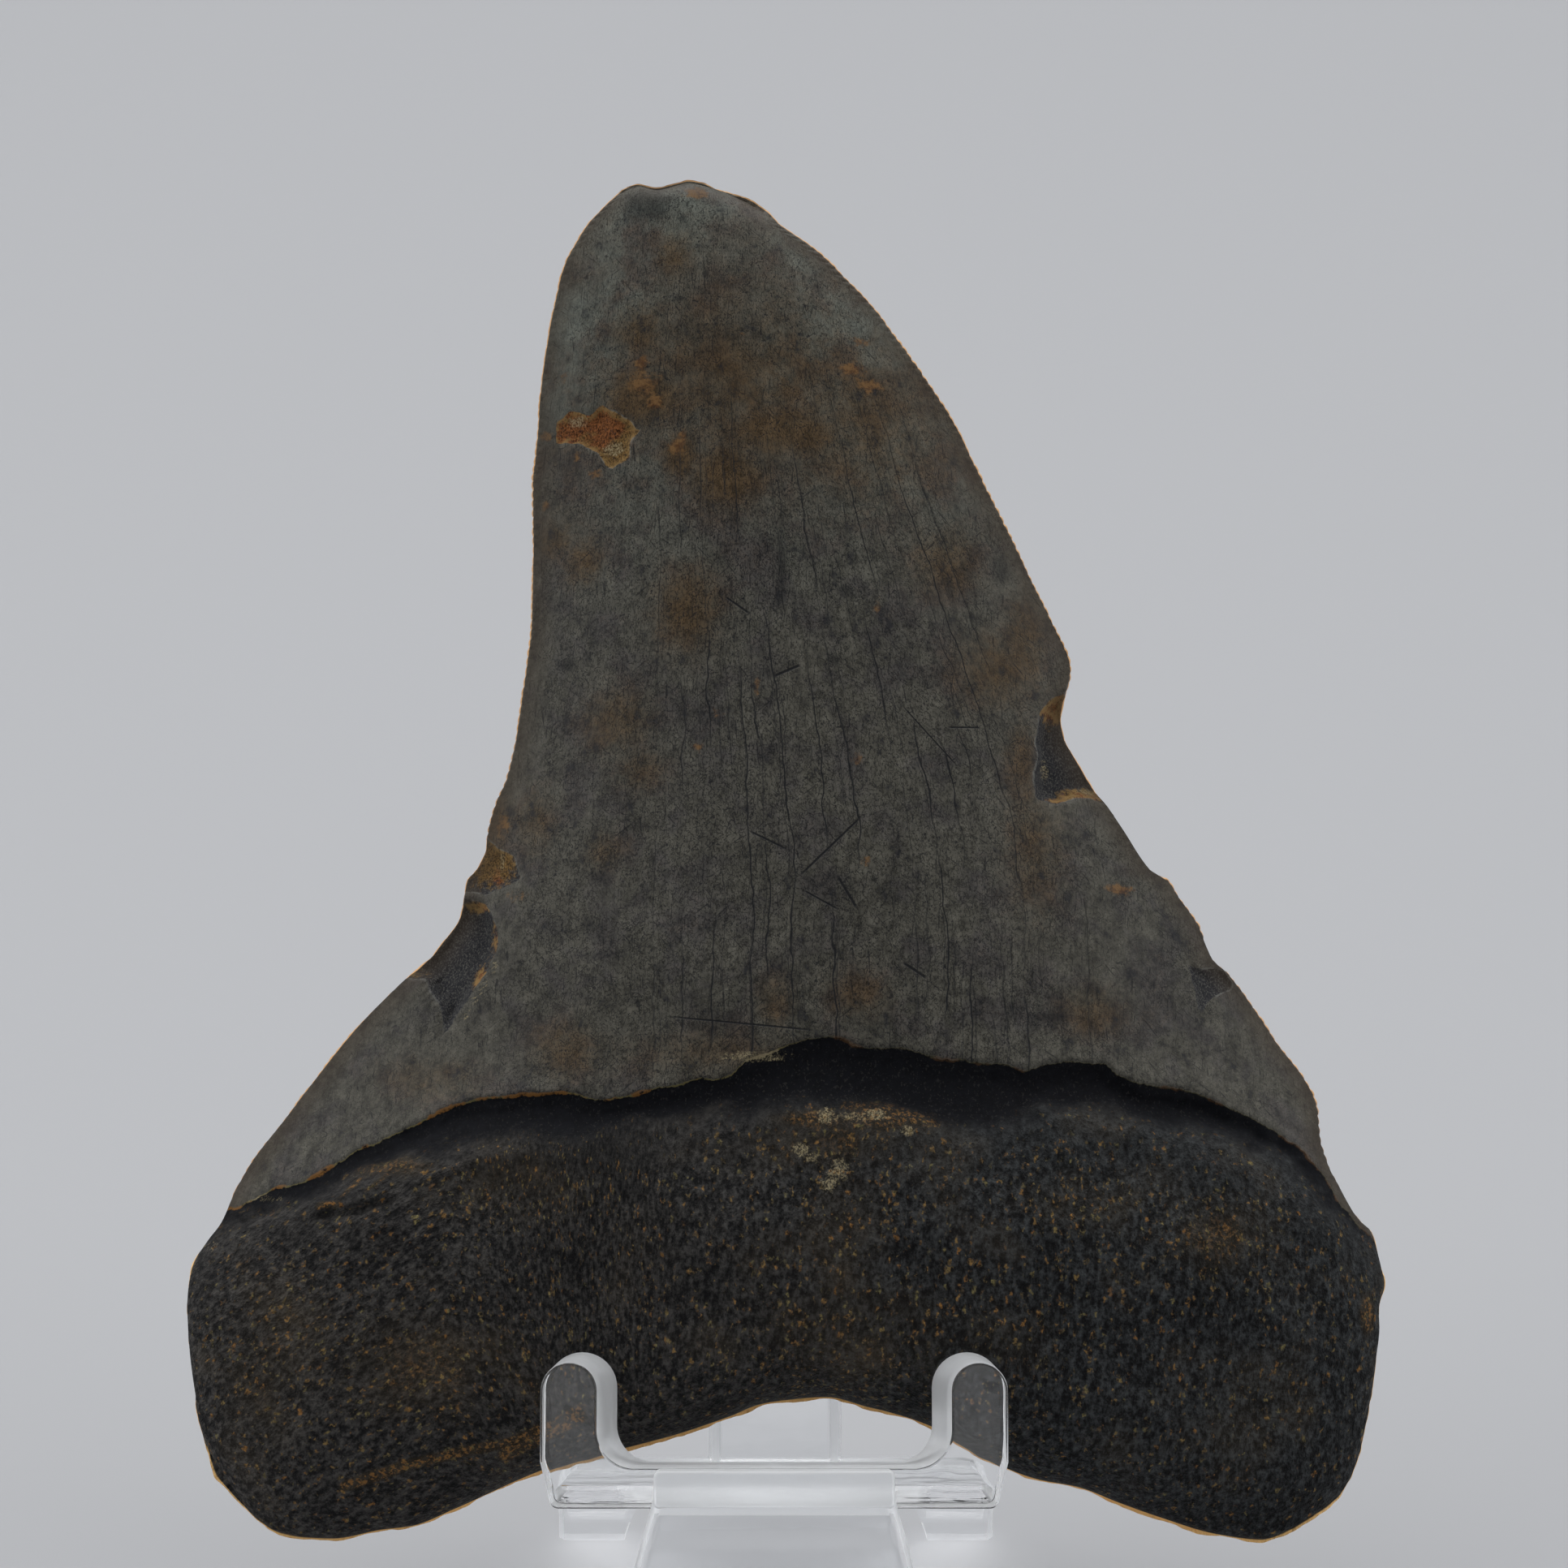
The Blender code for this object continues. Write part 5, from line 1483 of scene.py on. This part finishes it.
def clear_finish(name, colour, transmission, roughness):
    """Plain transmission with acrylic's index of refraction, and a moulded surface's faint waves."""
    finish = Finish(name)
    shader = finish.shader
    shader.inputs["Base Color"].default_value = colour
    shader.inputs["Transmission Weight"].default_value = transmission
    shader.inputs["IOR"].default_value = ACRYLIC_IOR
    place = finish.add("TexCoord", {}, "Object")
    haze = finish.noise(place, 0.004, 3.0, 0.6)
    finish.join(finish.rise(haze, 0.3, 0.8, *roughness), shader.inputs["Roughness"])
    waves = finish.noise(place, 0.006, 2.0, 0.5)
    bump = finish.add("Bump", {"Height": waves, "Distance": 0.00012, "Strength": 1.0})
    finish.join(bump, shader.inputs["Normal"])
    return finish.material


for finish_row in (
    ("clear_plastic", (0.985, 0.992, 1.0, 1.0), 1.0, (0.01, 0.06)),
    ("satin_plastic", (0.97, 0.985, 1.0, 1.0), 0.65, (0.28, 0.45)),
):
    stand.data.materials.append(clear_finish(*finish_row))
satin = satin_faces(stand)
stand.data.polygons.foreach_set("material_index", satin.astype(np.int32))
print(int(satin.sum()), "of the stand's faces are satin")

# %% [markdown]
# ## Floor and light
#
# A pale floor that curves up into a wall shows no horizon. Big soft lights and a pale sky give the
# even light of a product table. A single lamp would be simpler, but it would draw hard shadows and
# small hot spots on the clear plastic.

# %% Floor and backdrop
FLOOR_HALF = 1.6
FLOOR_FRONT = -1.2
SWEEP_START = 0.25
SWEEP_RADIUS = 0.5
WALL_TOP = 1.6


def make_backdrop():
    """A profile, floor then quarter circle then wall, carried straight across."""
    turn = np.linspace(-0.5 * math.pi, 0.0, 25)
    bend = SWEEP_START + SWEEP_RADIUS * np.cos(turn)
    y = np.concatenate([[FLOOR_FRONT], bend, [SWEEP_START + SWEEP_RADIUS]])
    z = np.concatenate([[0.0], SWEEP_RADIUS * (1.0 + np.sin(turn)), [WALL_TOP]])
    x = np.array([-FLOOR_HALF, FLOOR_HALF])
    points = np.stack(np.broadcast_arrays(x[None, :], y[:, None], z[:, None]), axis=-1)
    index = np.arange(points.shape[0] * 2).reshape(-1, 2)
    backdrop = new_piece("backdrop", points, grid_quads(index))
    backdrop.data.shade_smooth()
    finish = Finish("pale_paper")
    finish.shader.inputs["Base Color"].default_value = (0.432, 0.437, 0.452, 1.0)
    finish.shader.inputs["Roughness"].default_value = 0.9
    finish.shader.inputs["Specular IOR Level"].default_value = 0.1
    backdrop.data.materials.append(finish.material)
    return backdrop


make_backdrop()


# %% [markdown]
# ## Lights
#
# The wide lamps stand above and to the sides, and a small weak card in front lifts the prongs' flat
# faces. Each lamp is aimed by its yaw and pitch, worked out from where it stands and what it faces.

# %% Lights
def soft_light(name, place, target, size, power, colour=(1.0, 1.0, 1.0)):
    """A square area light at a place, facing its target."""
    light = bpy.data.lights.new(name, "AREA")
    light.shape = "RECTANGLE"
    light.size, light.size_y = size
    light.energy = power
    light.color = colour
    lamp = bpy.data.objects.new(name, light)
    bpy.context.scene.collection.objects.link(lamp)
    back = np.array(place, float) - np.array(target, float)
    yaw = math.atan2(back[0], -back[1])
    pitch = math.atan2(math.hypot(back[0], back[1]), back[2])
    lamp.location = place
    lamp.rotation_euler = (pitch, 0.0, yaw)
    return lamp


AIM = (0.0, 0.0, 0.07)
soft_light("overhead", (0.0, 0.25, 1.1), AIM, (1.3, 0.9), 10.5)
soft_light("left_bank", (-0.9, -0.15, 0.5), AIM, (1.4, 0.9), 5.0)
soft_light("right_bank", (0.9, -0.15, 0.45), AIM, (1.4, 0.9), 4.2)
soft_light("front_card", (0.0, -1.4, 0.29), (0.0, 0.0, 0.03), (0.36, 0.13), 0.08)

world = bpy.data.worlds.new("pale_sky")
world.use_nodes = True
world.node_tree.nodes["Background"].inputs["Color"].default_value = (0.93, 0.96, 1.0, 1.0)
world.node_tree.nodes["Background"].inputs["Strength"].default_value = 0.25
bpy.context.scene.world = world
bpy.context.scene.view_settings.view_transform = "Standard"

# %% [markdown]
# ## Handing over
#
# Every piece is tied to the body it moves with, and the imported solid that it stands for is hidden.

# %% Ties and sizes
for piece, node, finish_slot in (
    (tooth, "megalodon_tooth", "fossil_tooth"), (stand, "display_stand", "clear_plastic"),
):
    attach(piece, "root")
    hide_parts(node)
